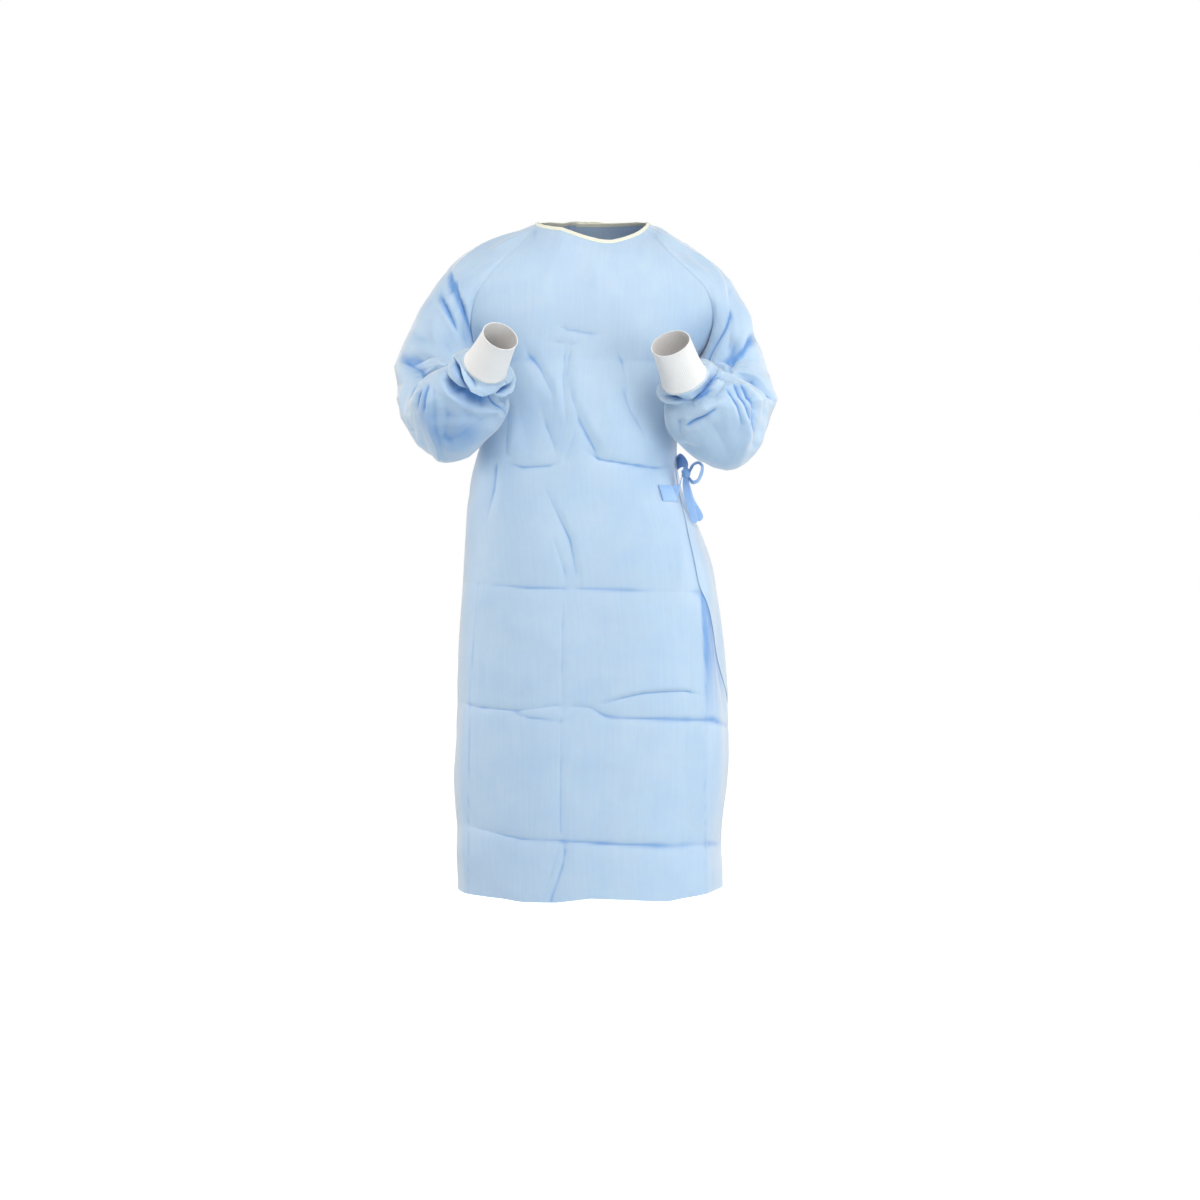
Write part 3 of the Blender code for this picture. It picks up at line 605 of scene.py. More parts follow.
def nonwoven(name):
    looks = clothLooks[name]
    material, tree, shader = principled(name, {
        "Roughness": 0.55, "Specular IOR Level": 0.45, "Sheen Weight": 0.45, "Sheen Roughness": 0.40,
        "Subsurface Weight": 0.25, "Subsurface Radius": (0.35, 0.65, 1.0), "Subsurface Scale": 0.0014,
    })
    grain = addNode(tree, "ShaderNodeGroup", {"Map": clothPlace(tree), "Place": objectPlace(tree)},
                    node_tree=bondedGrain)
    facing = addNode(tree, "ShaderNodeLayerWeight", {"Blend": 0.5}).outputs["Facing"]
    share = lambda effect, value: remapped(tree, value, *clothShares[effect])
    paler = mathNode(tree, "ADD", *(share(part.lower(), grain.outputs[part]) for part in ("Cloud", "Streak")))
    colour = mixColours(tree, paler, looks["lit"], looks["pale"])
    # painted sheen where the thin cloth is seen edgeways, and painted shade in creases
    colour = mixColours(tree, share("rim", facing), colour, looks["rim"])
    colour = mixColours(tree, share("paintedShadeMask", paintedShadeHere(tree)), colour, looks["deep"])
    dress(tree, shader, colour, grain.outputs["Height"], 0.5, looks["grainDepth"])
    return material


gownCloth = nonwoven("gownCloth")
tieCloth = nonwoven("tieCloth")


# knit: fine loops in columns between the ribs
def knitCloth():
    material, tree, shader = principled("knitCloth", {
        "Roughness": 0.85, "Specular IOR Level": 0.2, "Sheen Weight": 0.3, "Sheen Roughness": 0.6,
    })
    loops = addNode(tree, "ShaderNodeTexVoronoi", {
        "Vector": mapping(tree, clothPlace(tree), (700, 520, 1)), "Scale": 1.0, "Randomness": 0.25,
    }, voronoi_dimensions="2D")
    # painted shade: darker where the points lie in hollows between the ribs and beside the ridges
    colour = mixColours(tree, paintedShadeHere(tree), (0.87, 0.845, 0.82, 1), (0.74, 0.725, 0.725, 1))
    dress(tree, shader, colour, loops.outputs["Distance"], 0.6, 0.0004)
    return material


# woven binding tape, cream
def bindingCloth():
    material, tree, shader = principled("bindingCloth", {
        "Roughness": 0.75, "Specular IOR Level": 0.25, "Sheen Weight": 0.15,
    })
    place = clothPlace(tree)
    weave = addNode(tree, "ShaderNodeTexChecker", {
        "Vector": mapping(tree, place, (1500, 1500, 1), 45), "Scale": 1.0,
    })
    cloud = addNode(tree, "ShaderNodeTexNoise", {"Vector": place, "Scale": 60.0, "Detail": 3.0})
    colour = mixColours(tree, cloud.outputs["Fac"], (0.80, 0.79, 0.64, 1), (0.85, 0.85, 0.74, 1))
    dress(tree, shader, colour, weave.outputs["Fac"], 0.4, 0.0002)
    return material


def threadFinish(name, colour, shaded=0.8):
    material, tree, shader = principled(name, {"Roughness": 0.6, "Sheen Weight": 0.2})
    ply = addNode(tree, "ShaderNodeTexNoise", {"Vector": objectPlace(tree), "Scale": 1800.0})
    deep = tuple(shaded * value for value in colour[:3]) + (1,)
    dress(tree, shader, mixColours(tree, ply.outputs["Fac"], colour, deep))
    return material


knit = knitCloth()
binding = bindingCloth()
blueThread = threadFinish("blueThread", (0.50, 0.66, 0.88, 1))
navyThread = threadFinish("navyThread", (0.13, 0.24, 0.55, 1))
creamThread = threadFinish("creamThread", (0.92, 0.92, 0.82, 1))
print("materials made")


stage = {
    "floor": -1.567, "half": 40.0, "colour": (0.38, 0.44, 0.49, 1), "glow": 1.0, "bounce": 0.24, "world": 0.25,
}


# bright to the camera, and dim to everything else
def cameraGlow(tree, bounce):
    path = addNode(tree, "ShaderNodeLightPath")
    return addNode(tree, "ShaderNodeMapRange", {
        "Value": path.outputs["Is Camera Ray"], "To Min": bounce, "To Max": stage["glow"],
    }).outputs[0]


def addStage():
    half, floor = stage["half"], stage["floor"]
    points = np.array([(x, y, floor) for y in (-half, half) for x in (-half, half)])
    material, tree, shader = principled("paleStage", {
        "Base Color": stage["colour"], "Roughness": 0.9, "Specular IOR Level": 0.0,
        "Emission Color": (1, 1, 1, 1),
    })
    tree.links.new(cameraGlow(tree, stage["bounce"]), shader.inputs["Emission Strength"])
    addPiece("paleStage", points, np.array([(0, 1, 3, 2)]), material)


lights = (  # name, place, aims at, size, watts, colour
    ("front", (0.3, -3.9, 1.6), (0, 0, -0.3), 1.8, 71, (1, 0.985, 0.97)),
    ("keyRight", (2.2, -3, 0.6), (0, 0, -0.5), 1.8, 12, (1, 0.99, 0.98)),
    ("keyLeft", (-2.4, -2.8, 1.4), (0, 0, -0.6), 2, 6, (0.98, 0.99, 1)),
    ("edgeLeft", (-2.6, 0.4, -0.2), (0, 0, -0.7), 1.8, 34, (1, 0.99, 0.97)),
    ("edgeRight", (2.6, 0.7, 0), (0, 0, -0.7), 1.8, 34, (1, 1, 1)),
    ("above", (0.1, -1.6, 2.7), (0, 0, -0.1), 2, 46, (1, 0.98, 0.96)),
    ("below", (1.9, -2.2, -1.2), (0.2, 0, -0.35), 1.6, 26, (0.88, 0.96, 1)),
    ("rear", (0, 4.2, 0.6), (0, 0, -0.5), 2.6, 60, (1, 1, 1)),
)


def addLights():
    for name, place, aim, size, watts, colour in lights:
        lamp = bpy.data.lights.new(name, "AREA")
        lamp.shape, lamp.size, lamp.energy, lamp.color = "DISK", size, watts, colour
        item = addObject(name, lamp)
        item.location = place
        x, y, z = np.array(place) - np.array(aim)
        item.rotation_euler = (math.atan2(math.hypot(x, y), z), 0, math.atan2(y, x) + math.pi / 2)
    world = bpy.data.worlds.new("softWhite")
    world.use_nodes = True
    tree = world.node_tree
    background = tree.nodes["Background"]
    background.inputs["Color"].default_value = (1, 1, 1, 1)
    tree.links.new(cameraGlow(tree, stage["world"]), background.inputs["Strength"])
    bpy.context.scene.world = world


def addCamera():
    camera = bpy.data.cameras.new("camera")
    camera.lens, camera.sensor_width = eye["lens"], eye["sensor"]
    item = addObject("camera", camera)
    item.location, item.rotation_euler = eye["place"], (math.radians(90), 0, 0)
    bpy.context.scene.camera = item


addStage()
addLights()
addCamera()
bpy.context.scene.view_settings.view_transform = "Standard"
print("stage, lights and camera placed")


# one finished cloth piece: put on the root body, with its CAD node hidden
def finishSheet(piece, node):
    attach(piece, "root")
    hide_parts(node)


perDegree = 0.0034  # metres of cloth for a degree round the body
frontPanel = {
    "rows": 262, "columns": 180, "wall": 0.0008, "yokeShare": 0.19, "seed": 11,
    "rowCentres": (0.405, 0.607, 0.800, 0.825, 1.035), "rowSpread": 0.016, "rowExtra": 1.4,
    "columnCentres": (-68, -17, 64), "columnSpread": 7, "columnExtra": 1.2,
    "rise": 0.0014, "riseSize": 0.11, "ripple": 0.0004, "rippleSize": 0.035, "facet": 0.0018, "facetSize": 0.07,
    "hemWave": 0.0045, "hemFrom": 1.02, "neckRows": 1.8, "line": -0.5, "narrow": 13, "gather": 8.0,
    # where the cloth isn't gathered, in degrees from the side seams, in rows, and up from the hem
    "stillSides": (0, 6), "stillNeck": (0.5, 1.5), "stillHem": (-1.148, -1.13),
    # the wrap panel covers it: from this angle, degrees past the edge, and how far it is then pressed in
    "wrapFrom": 40, "covered": (4, 14), "pressed": -0.0004, "smoothed": (-8, 1),
    # painted shade beside the skirt's side folds and beside the creases, and painted shade along the raglan
    # seams on the yoke
    "paintedFoldShade": {"line": 0.30, "shade": 1.4, "narrow": 3},
    "paintedCreaseShade": {"line": 0.25, "shade": 0.18, "narrow": 13},
    "paintedSeamShade": {"left": 0.65, "right": 0.25, "reach": 0.9, "from": (0.3, 1.0), "to": 2},
}
# relief fades out at the side seams, in degrees, and at the neckline, in rows; the seams are shallow grooves
seams = {"frontFade": 9, "backFade": 12, "neckFade": 0.7, "groove": 0.0005, "grooveWidth": 0.0022}

frontCreases = (
    # packing creases across: each is a soft V in the cloth with a sharp line in it
    (-3, 16, 20, .8, (-152, 410, 0), (-147, 413, .7), (-121, 421, 1), (-74, 418, .7), (-40, 410, 0)),
    (-3.4, 18, 20, .8, (-30, 380, 0), (-5, 396, .8), (12, 407, 1), (35, 411, 1), (68, 416, .9), (118, 422, .8),
        (144, 417, .6), (176, 412, 0)),
    (-1.2, 3, 4, 1, (-147, 413, 0), (-121, 421, 1), (-74, 418, .7), (-50, 412, 0)),
    (-1.2, 3, 4, 1, (-5, 396, 0), (12, 407, 1), (68, 416, 1), (110, 422, 1), (118, 422, .6), (140, 418, 0)),
    (-2.6, 26, 30, .8, (-227, 619, .8), (-111, 629, 1), (-35, 631, .8), (67, 633, .8), (187, 637, .5)),
    (-.9, 3, 4, .8, (-205, 622, .2), (-111, 629, 1), (-60, 630, .7), (-35, 631, 0), (-20, 631, .7),
        (67, 633, .9), (120, 634, .2), (187, 637, .5)),
    (-2.4, 28, 26, .8, (-220, 830, .8), (-197, 836, 1), (-133, 842, 1), (-64, 833, .5), (-40, 836, .3)),
    (-2.6, 24, 32, .8, (-60, 836, .3), (-20, 838, .7), (25, 852, 1), (97, 856, 1), (209, 858, .9),
        (235, 872, .4)),
    (-1.3, 3, 4, .8, (-222, 828, .3), (-197, 836, 1), (-133, 842, 1), (-100, 838, .7), (-64, 833, .9),
        (-50, 833, 0)),
    (-1.6, 3, 6, .8, (-136, 843, 0), (-130, 848, .9), (-107, 854, 1), (-52, 860, .4), (-30, 856, 0)),
    (-1.3, 3, 4, .8, (-44, 838, 0), (-30, 834, .7), (-3, 836, .9), (25, 852, 1), (50, 855, .6), (97, 856, 1),
        (209, 858, .9), (235, 870, .4)),
    (-3.6, 24, 30, .8, (-212, 1036, .6), (-151, 1058, 1), (-121, 1064, 1), (-58, 1067, .9), (48, 1074, 1),
        (121, 1075, .9), (216, 1073, .7)),
    (-1.3, 3, 4, .8, (-207, 1043, .5), (-151, 1058, 1), (-121, 1064, .8), (-90, 1065, .3), (-58, 1067, .6),
        (48, 1074, 1), (121, 1075, .8), (150, 1074, .2), (216, 1073, .4)),
    # a fold of slack cloth that hangs over the third crease
    (-2.8, 1.5, 7, .6, (8, 834, 0), (18, 830, .4), (51, 820, .9), (88, 812, 1), (128, 809, 1), (164, 808, .9),
        (183, 814, .2), (188, 818, 0)),
    (1.6, 12, 7, 3, (20, 822, 0), (56, 810, .8), (128, 799, 1), (170, 801, .5), (184, 808, 0)),
    (2, 14, 14, 5, (-28, 792, 0), (12, 786, .8), (52, 776, .7), (84, 758, 0)),
    # packing crease down the middle
    (-1.8, 24, 24, 1, (-44, 470, 0), (-46, 560, .6), (-50, 640, .9), (-52, 760, .6), (-54, 900, .8),
        (-53, 1062, 1), (-52, 1100, .3)),
    (-.7, 3, 3, .8, (-44, 640, 0), (-50, 660, .6), (-52, 740, .8), (-53, 824, .2), (-54, 870, .3),
        (-54, 930, .8), (-55, 1050, 1), (-54, 1062, 0)),
    (-2.4, 6, 12, 1.2, (-84, 446, 0), (-78, 463, .5), (-58, 505, .8), (-38, 546, 1), (-28, 599, .5),
        (-24, 622, 0)),
    (2, 12, 8, 3, (-66, 462, 0), (-44, 506, .8), (-24, 548, 1), (-16, 596, .5), (-14, 616, 0)),
    (-1.4, 6, 9, 1.6, (-76, 520, 0), (-62, 556, .8), (-48, 600, 1), (-44, 622, 0)),
    (-3.2, 6, 9, 2, (-48, 1072, .3), (-47, 1085, .8), (-52, 1112, 1), (-73, 1170, 1)),
    (-1.8, 7, 6, 2, (-56, 1072, .3), (-60, 1090, .8), (-70, 1124, .9), (-84, 1160, .2)),
    (2.4, 7, 6, 2.4, (-51, 1080, 0), (-54, 1094, .8), (-66, 1132, 1), (-78, 1168, .8)),
    (1.2, 10, 12, 3, (34, 1084, 0), (24, 1104, 1), (6, 1140, .6), (0, 1160, 0)),
    (1.2, 9, 9, 3, (150, 1080, 0), (140, 1096, 1), (132, 1120, .5), (130, 1140, 0)),
    # the flap stands off at the left side
    (7, 26, 20, 8, (204, 520, 0), (216, 560, .9), (224, 600, 1), (232, 640, .8), (238, 700, .5), (241, 760, .6),
        (243, 830, .9), (243, 880, .9), (241, 960, .3), (240, 1000, 0)),
    # fold at the right side seam, and the small fold at the waist above it
    (5.5, 36, 12, 1.6, (-184, 560, 0), (-190, 600, .3), (-196, 651, .6), (-210, 754, .9), (-217, 858, 1),
        (-218, 997, 1), (-216, 1160, 1)),
    (-1.6, 9, 12, 3, (-166, 600, 0), (-172, 660, .8), (-184, 760, 1), (-190, 900, .8), (-192, 1040, .5),
        (-190, 1160, .4)),
    (-4.2, 5, 9, 1.2, (-164, 404, 0), (-167, 423, 1), (-170, 460, .9), (-179, 496, .5), (-186, 530, 0)),
    (2.4, 12, 9, 3, (-150, 420, 0), (-153, 450, 1), (-162, 496, .7), (-168, 530, 0)),
    # fold at the left side, in front of the wrap panel
    (6.5, 8, 40, 1, (190, 622, 0), (193, 652, .4), (195, 700, .9), (195, 800, 1), (195, 927, .9),
        (196, 1048, .8), (197, 1160, .8)),
    (-1.8, 14, 16, 3, (170, 640, 0), (166, 700, .8), (168, 800, 1), (160, 900, .8), (164, 1040, .4)),
    (-5, 16, 5, 2.4, (196, 640, 0), (204, 690, .8), (211, 740, 1), (214, 800, .8), (214, 880, 0)),
    (2.2, 10, 14, 3, (128, 700, 0), (150, 640, .8), (156, 560, .6), (150, 500, 0)),
    # chest
    (-2, 8, 12, 2, (-44, 200, 0), (-47, 225, .7), (-50, 270, 1), (-46, 330, .6), (-40, 360, 0)),
    (-1.4, 5, 8, 1.6, (-34, 196, 0), (-38, 224, .8), (-44, 262, .8), (-46, 290, 0)),
    (1.8, 10, 10, 3, (-62, 222, 0), (-62, 262, 1), (-56, 310, .8), (-44, 352, 0)),
    (-2.8, 9, 12, 2, (-42, 270, 0), (-34, 300, .7), (-20, 344, .9), (3, 388, 1), (10, 401, .5), (14, 408, 0)),
    (2.4, 12, 10, 3, (-30, 280, 0), (-14, 320, .9), (10, 366, 1), (28, 396, .3)),
    (-2, 10, 13, 2, (-124, 190, 0), (-112, 222, .8), (-90, 250, 1), (-71, 290, .7), (-64, 330, 0)),
    (1.6, 10, 10, 3, (-102, 196, 0), (-86, 232, 1), (-62, 276, .8), (-54, 310, 0)),
    (-1.8, 9, 9, 1.6, (44, 262, 0), (54, 290, .7), (66, 324, .9), (86, 356, .9), (96, 376, .4), (104, 392, 0)),
    (-2.6, 3, 16, 1.2, (-143, 305, 0), (-145, 330, .6), (-147, 373, 1), (-148, 396, .8), (-142, 410, 0)),
    (-1.4, 6, 9, 1.8, (-70, 170, 0), (-43, 182, .9), (0, 190, .9), (34, 190, 0)),
    (-1.2, 6, 8, 1.8, (-84, 200, 0), (-60, 204, .9), (-30, 206, .8), (-10, 204, 0)),
    (-2.6, 22, 26, 4, (14, 40, 0), (30, 70, 1), (60, 110, .7), (80, 140, 0)),
    (-2.2, 22, 22, 4, (6, 40, 0), (-14, 80, 1), (-40, 120, .7), (-60, 150, 0)),
    (2.4, 14, 14, 4, (0, 50, 0), (8, 90, 1), (4, 140, .6), (0, 170, 0)),
    (3.6, 22, 26, 4, (-20, 190, 0), (-26, 240, 1), (-30, 330, 1), (-22, 400, .3)),
    (3.2, 22, 20, 4, (20, 240, 0), (24, 300, 1), (44, 380, .6), (50, 410, 0)),
    (-3.2, 16, 18, 4, (96, 220, 0), (110, 300, 1), (124, 380, .8), (130, 420, 0)),
    (-2.8, 18, 16, 4, (-134, 250, 0), (-124, 330, 1), (-112, 390, .8), (-108, 420, 0)),
    (-1.8, 9, 11, 2, (-92, 310, 0), (-78, 352, .9), (-66, 384, 1), (-62, 412, 0)),
    (-1.5, 9, 11, 2, (36, 206, 0), (52, 240, .9), (60, 280, .8), (58, 320, 0)),
    (-1.6, 8, 10, 2, (-24, 330, 0), (-30, 366, .8), (-44, 402, .7), (-56, 424, 0)),
)

# the front panel is pressed in beside the wrap panel's free edge: down, depth in mm, reach in degrees
sideValley = (
    (0.400, 0, 4), (0.460, 0.5, 5), (0.520, 1.2, 4), (0.590, 1.6, 4), (0.640, 1.2, 4), (0.700, 0.8, 5),
    (0.760, 0.5, 6), (0.840, 0.3, 8), (0.950, 0, 8), (1.152, 0, 8),
)
valleyAside = 3  # degrees from the edge

# the wrap panel's free edge: down, angle round the body
wrapEdgeRows = (
    (0.245, 150), (0.330, 115), (0.400, 91), (0.445, 78), (0.480, 68), (0.520, 58.5), (0.580, 52.4),
    (0.640, 53.5), (0.664, 57.5), (0.690, 61.5), (0.720, 66), (0.776, 74.5), (0.824, 84), (0.872, 92),
    (0.920, 98), (1.000, 107), (1.152, 121),
)
wrapPanel = {
    "columns": 180, "wall": 0.0008, "neckEdge": 158, "underarmEdge": 150, "seed": 21,
    "edgeSpread": 0.03, "edgeExtra": 2, "lift": 0.006, "stepStart": 234, "stepEnd": 212, "behind": (100, 118),
    "edgeLift": 0.001, "edgeReach": 18, "flare": 0.0004, "flareReach": 6, "flareFrom": (0.42, 0.56),
    "flareTo": (0.74, 0.95),
    "rise": 0.0020, "riseSize": 0.13, "ripple": 0.0006, "rippleSize": 0.04, "facet": 0.0018, "facetSize": 0.085,
}


def wrapEdgeAt(row):
    neck, underarm = wrapPanel["neckEdge"], wrapPanel["underarmEdge"]
    below = smoothRows(wrapEdgeRows, downAt(row))[..., 0]
    return np.where(row <= underarmRow, neck + (underarm - neck) * row / underarmRow, below)


# rows of a body panel: the yoke evenly, then closer together near its creases
def bodyRows(panel):
    yokeRows = int(panel["rows"] * panel["yokeShare"])
    upper = np.linspace(0, underarmRow, yokeRows, endpoint=False)
    down = packed(body["top"], body["hem"], panel["rows"] - yokeRows, panel["rowCentres"], panel["rowSpread"],
                  panel["rowExtra"])
    return np.concatenate((upper, rowOf(down)))[:, None]


def seamFade(degrees, row, fade):
    return smoothStep(degrees, 0, seams[fade]) * smoothStep(row, 0, seams["neckFade"])


# broad rises, ripples and facets
def relief(points, flat, panel, seed):
    return (panel["rise"] * unevenness(points, panel["riseSize"], seed)
            + panel["ripple"] * unevenness(points, panel["rippleSize"], seed + 1)
            + panel["facet"] * facets(flat[..., 0], flat[..., 1], panel["facetSize"], seed + 2))


# a body point's place on the panel laid flat, in metres across and down
def bodyFlat(row, angle):
    return stacked(angle * perDegree + 0 * row, downAt(row) + 0 * angle)


# the front neckline stands higher on the right side of the neck: where across in mm, how much higher in mm
neckLift = ((-98, 0), (-76, 8), (-54, 13), (-34, 10), (-12, 5), (12, 0), (35, -2), (67, 0), (98, 0))
# the hem hangs in straight runs between soft corners: where across in mm, how much higher
hemDips = ((-225, 0.3), (-150, -0.2), (-118, -1.0), (-60, -0.9), (-2, 0.7), (60, 0.1), (128, -1.0), (150, -0.2),
           (215, 1.2))


def hemLift(points, down):
    dip = np.interp(points[..., 0] * 1000, *zip(*hemDips))
    return frontPanel["hemWave"] * dip * smoothStep(down, frontPanel["hemFrom"], body["hem"])


def seamGroove(distance):
    return seams["groove"] * np.exp(-(distance / seams["grooveWidth"]) ** 2)


# how far the front panel's creases and the valley beside the wrap panel move its cloth out
def frontFolds(row, angle, points):
    down = downAt(row)
    creases = list(frontCreases) + sharpLines(frontCreases, frontPanel["line"], frontPanel["narrow"])
    raised = addCreases(frontView(points), creases) * seamFade(90 - np.abs(angle), row, "frontFade")
    top, bottom = sideValley[0][0], sideValley[-1][0]
    depth, spread = apart(smoothRows(sideValley, np.clip(down, top, bottom)))
    beside = np.exp(-((angle - wrapEdgeAt(row) + valleyAside) / spread) ** 2)
    return raised - np.where((down > top) & (row > underarmRow), depth / 1000 * beside, 0)


# painted shade where the skirt's side folds turn away from the light
frontShades = (
    (-4, 4, 6, 1, (160, 500, 0), (169, 528, .6), (175, 556, .9), (184, 600, 1), (190, 634, 1)),
    (-7, 60, 4, 1, (190, 622, 0), (191, 640, 1), (194, 690, 1), (196, 740, .85), (197, 790, .55),
        (196, 830, .4), (196, 900, 0)),
    (-3, 4, 10, 1, (187, 618, 0), (191, 636, 1), (203, 668, 1), (217, 722, .6), (226, 777, .2), (230, 800, 0)),
    (-2, 4, 3, 1, (195, 880, 0), (195, 927, .7), (196, 1048, .6), (197, 1160, .6)),
    (-2, 2, 3, 1, (-190, 560, 0), (-198, 640, .5), (-205, 720, .8), (-211, 800, .8), (-214, 1000, .8),
        (-214, 1160, .7)),
)


def frontSurface(row, angle):
    points = bodySurface(row, angle, True)
    down, edge, fromSeam = downAt(row), wrapEdgeAt(row), 90 - np.abs(angle)
    thin = narrowOnes([crease for crease in frontCreases + frontShades if crease[0] < 0], frontPanel["narrow"])
    still = (smoothStep(fromSeam, *frontPanel["stillSides"]) * smoothStep(row, *frontPanel["stillNeck"])
             * smoothStep(-down, *frontPanel["stillHem"]))
    points = gatherPoints(points, thin, still, frontPanel["gather"])
    normals = gridNormals(points)
    wrapped = (row > underarmRow) * (angle > frontPanel["wrapFrom"])
    covered = smoothStep(angle - edge, *frontPanel["covered"]) * wrapped
    smoothed = smoothStep(angle - edge, *frontPanel["smoothed"]) * wrapped
    raised = frontFolds(row, angle, points)
    raised = raised * (1 - covered) + np.minimum(raised, frontPanel["pressed"]) * covered
    shown = seamFade(fromSeam, row, "frontFade") * (1 - smoothed)
    raised = raised + relief(points, bodyFlat(row, angle), frontPanel, frontPanel["seed"]) * shown
    raised = raised - seamGroove(fromSeam * perDegree)
    points = points + normals * raised[..., None]
    lifted = np.interp(points[..., 0] * 1000, *zip(*neckLift)) / 1000
    points[..., 2] += lifted * (1 - smoothStep(row, 0, frontPanel["neckRows"]))
    points[..., 2] += hemLift(points, down)
    return points


def makeFrontPanel():
    rows = bodyRows(frontPanel)
    angle = packed(-90, 90, frontPanel["columns"], frontPanel["columnCentres"], frontPanel["columnSpread"],
                   frontPanel["columnExtra"])[None, :]
    points = frontSurface(rows, angle)
    seen, paintedSeamShade = frontView(points), frontPanel["paintedSeamShade"]
    # painted shade beside the side folds and creases, and along the raglan seams on the yoke
    paintedShade = (paintedCreaseShade(seen, frontShades, frontPanel["paintedFoldShade"])
            + paintedCreaseShade(seen, frontCreases, frontPanel["paintedCreaseShade"]))
    onYoke = smoothStep(rows, *paintedSeamShade["from"])
    onYoke = onYoke * (1 - smoothStep(rows, underarmRow - paintedSeamShade["to"], underarmRow))
    depth = np.where(angle > 0, paintedSeamShade["left"], paintedSeamShade["right"])
    paintedShade = paintedShade + onYoke * depth * np.exp((np.abs(angle) - 90) / paintedSeamShade["reach"])
    return addShell("frontPanel", points, frontPanel["wall"], gownCloth, paintedShade=paintedShade)


finishSheet(makeFrontPanel(), "front_panel")
print("front panel made")


backCreases = (
    (-1.8, 4, 6, 1.2, (-230, 412, .8), (-120, 420, 1), (-20, 414, .7), (90, 419, .8), (200, 416, .8)),
    (-1.8, 4, 6, 1.2, (-230, 606, .8), (-120, 612, 1), (0, 608, .8), (120, 613, 1), (230, 608, .8)),
    (-2, 4, 6, 1.2, (-235, 822, .8), (-130, 828, 1), (10, 823, .9), (120, 829, 1), (235, 824, .8)),
    (-1.9, 4, 6, 1.2, (-235, 1036, .8), (-90, 1041, 1), (60, 1034, .9), (235, 1039, .9)),
    (-1.4, 5, 5, 1.4, (28, 60, 0), (30, 120, .9), (33, 500, .8), (30, 900, .9), (34, 1152, .9)),
    (-3, 9, 7, 2, (-96, 120, 0), (-84, 170, 1), (-52, 250, .8), (-40, 300, 0)),
    (-3.2, 8, 9, 2, (60, 190, 0), (74, 260, 1), (64, 360, .7), (50, 420, 0)),
    (-2.6, 7, 7, 2, (-120, 350, 0), (-70, 392, 1), (20, 402, .6), (60, 398, 0)),
    (3.4, 14, 12, 4, (-130, 400, 0), (-84, 440, 1), (-70, 560, .7), (-74, 640, 0)),
    (-3, 8, 12, 2, (96, 420, 0), (70, 470, 1), (66, 560, .6), (70, 600, 0)),
)
backPanel = {
    "rows": 250, "yokeShare": 0.2, "rowCentres": (0.415, 0.610, 0.826, 1.038), "rowSpread": 0.014,
    "rowExtra": 1.2, "hemSides": (40, 90),
}
underPanel = {
    "columns": 110, "wall": 0.0008, "edge": 206, "covered": (-4, 2), "seed": 31,
    "rise": 0.0016, "riseSize": 0.13, "ripple": 0.0005, "rippleSize": 0.04, "facet": 0.0015, "facetSize": 0.085,
}


# a layer of the back: how far its creases and its relief show, and how far it stands off
def layBack(points, row, angle, panel, fromSeam, creased, rough, off=0):
    normals = gridNormals(points)
    fade = seamFade(fromSeam, row, "backFade")
    raised = addCreases(backView(points), backCreases) * fade * creased
    raised = raised + relief(points, bodyFlat(row, angle), panel, panel["seed"]) * fade * rough
    raised = raised - seamGroove(fromSeam * perDegree)
    points = points + normals * (off + raised)[..., None]
    points[..., 2] += hemLift(points, downAt(row)) * smoothStep(np.abs(angle - 180), *backPanel["hemSides"])
    return points


def wrapSurface(row, angle):
    points = bodySurface(row, angle, False)
    down, fromEdge = downAt(row), angle - wrapEdgeAt(row)
    lift, stepStart, stepEnd = wrapPanel["lift"], wrapPanel["stepStart"], wrapPanel["stepEnd"]
    off = lift * smoothStep(stepStart - angle, 0, stepStart - stepEnd)
    # the free edge settles onto the layer under it
    free = smoothStep(fromEdge, 0, wrapPanel["edgeReach"])
    off = off - (lift - wrapPanel["edgeLift"]) * (1 - free) * (angle < stepEnd)
    flared = smoothStep(down, *wrapPanel["flareFrom"]) * (1 - smoothStep(down, *wrapPanel["flareTo"]))
    off = off + wrapPanel["flare"] * flared * np.exp(-fromEdge / wrapPanel["flareReach"])
    under = frontFolds(row, np.minimum(angle, 90), points) * (angle < 90) * (row > underarmRow)
    off = off + under * (1 - free)
    creased = smoothStep(angle, *wrapPanel["behind"])
    return layBack(points, row, angle, wrapPanel, 270 - angle, creased, free, off)


def makeWrapPanel():
    row = bodyRows(backPanel)
    share = packed(0, 1, wrapPanel["columns"], (0,), wrapPanel["edgeSpread"], wrapPanel["edgeExtra"])[None, :]
    edge = wrapEdgeAt(row)
    points = wrapSurface(row, edge + (270 - edge) * share)
    return addShell("wrapPanel", points, wrapPanel["wall"], gownCloth)


def underSurface(row, angle):
    shown = 1 - smoothStep(angle - wrapEdgeAt(row), *underPanel["covered"])
    return layBack(bodySurface(row, angle, False), row, angle, underPanel, angle - 90, shown, shown)


def makeUnderPanel():
    angle = np.linspace(90, underPanel["edge"], underPanel["columns"])[None, :]
    return addShell("underPanel", underSurface(bodyRows(backPanel), angle), underPanel["wall"], gownCloth)


finishSheet(makeWrapPanel(), "back_panel_right")
finishSheet(makeUnderPanel(), "back_panel_left")
print("back panels made")


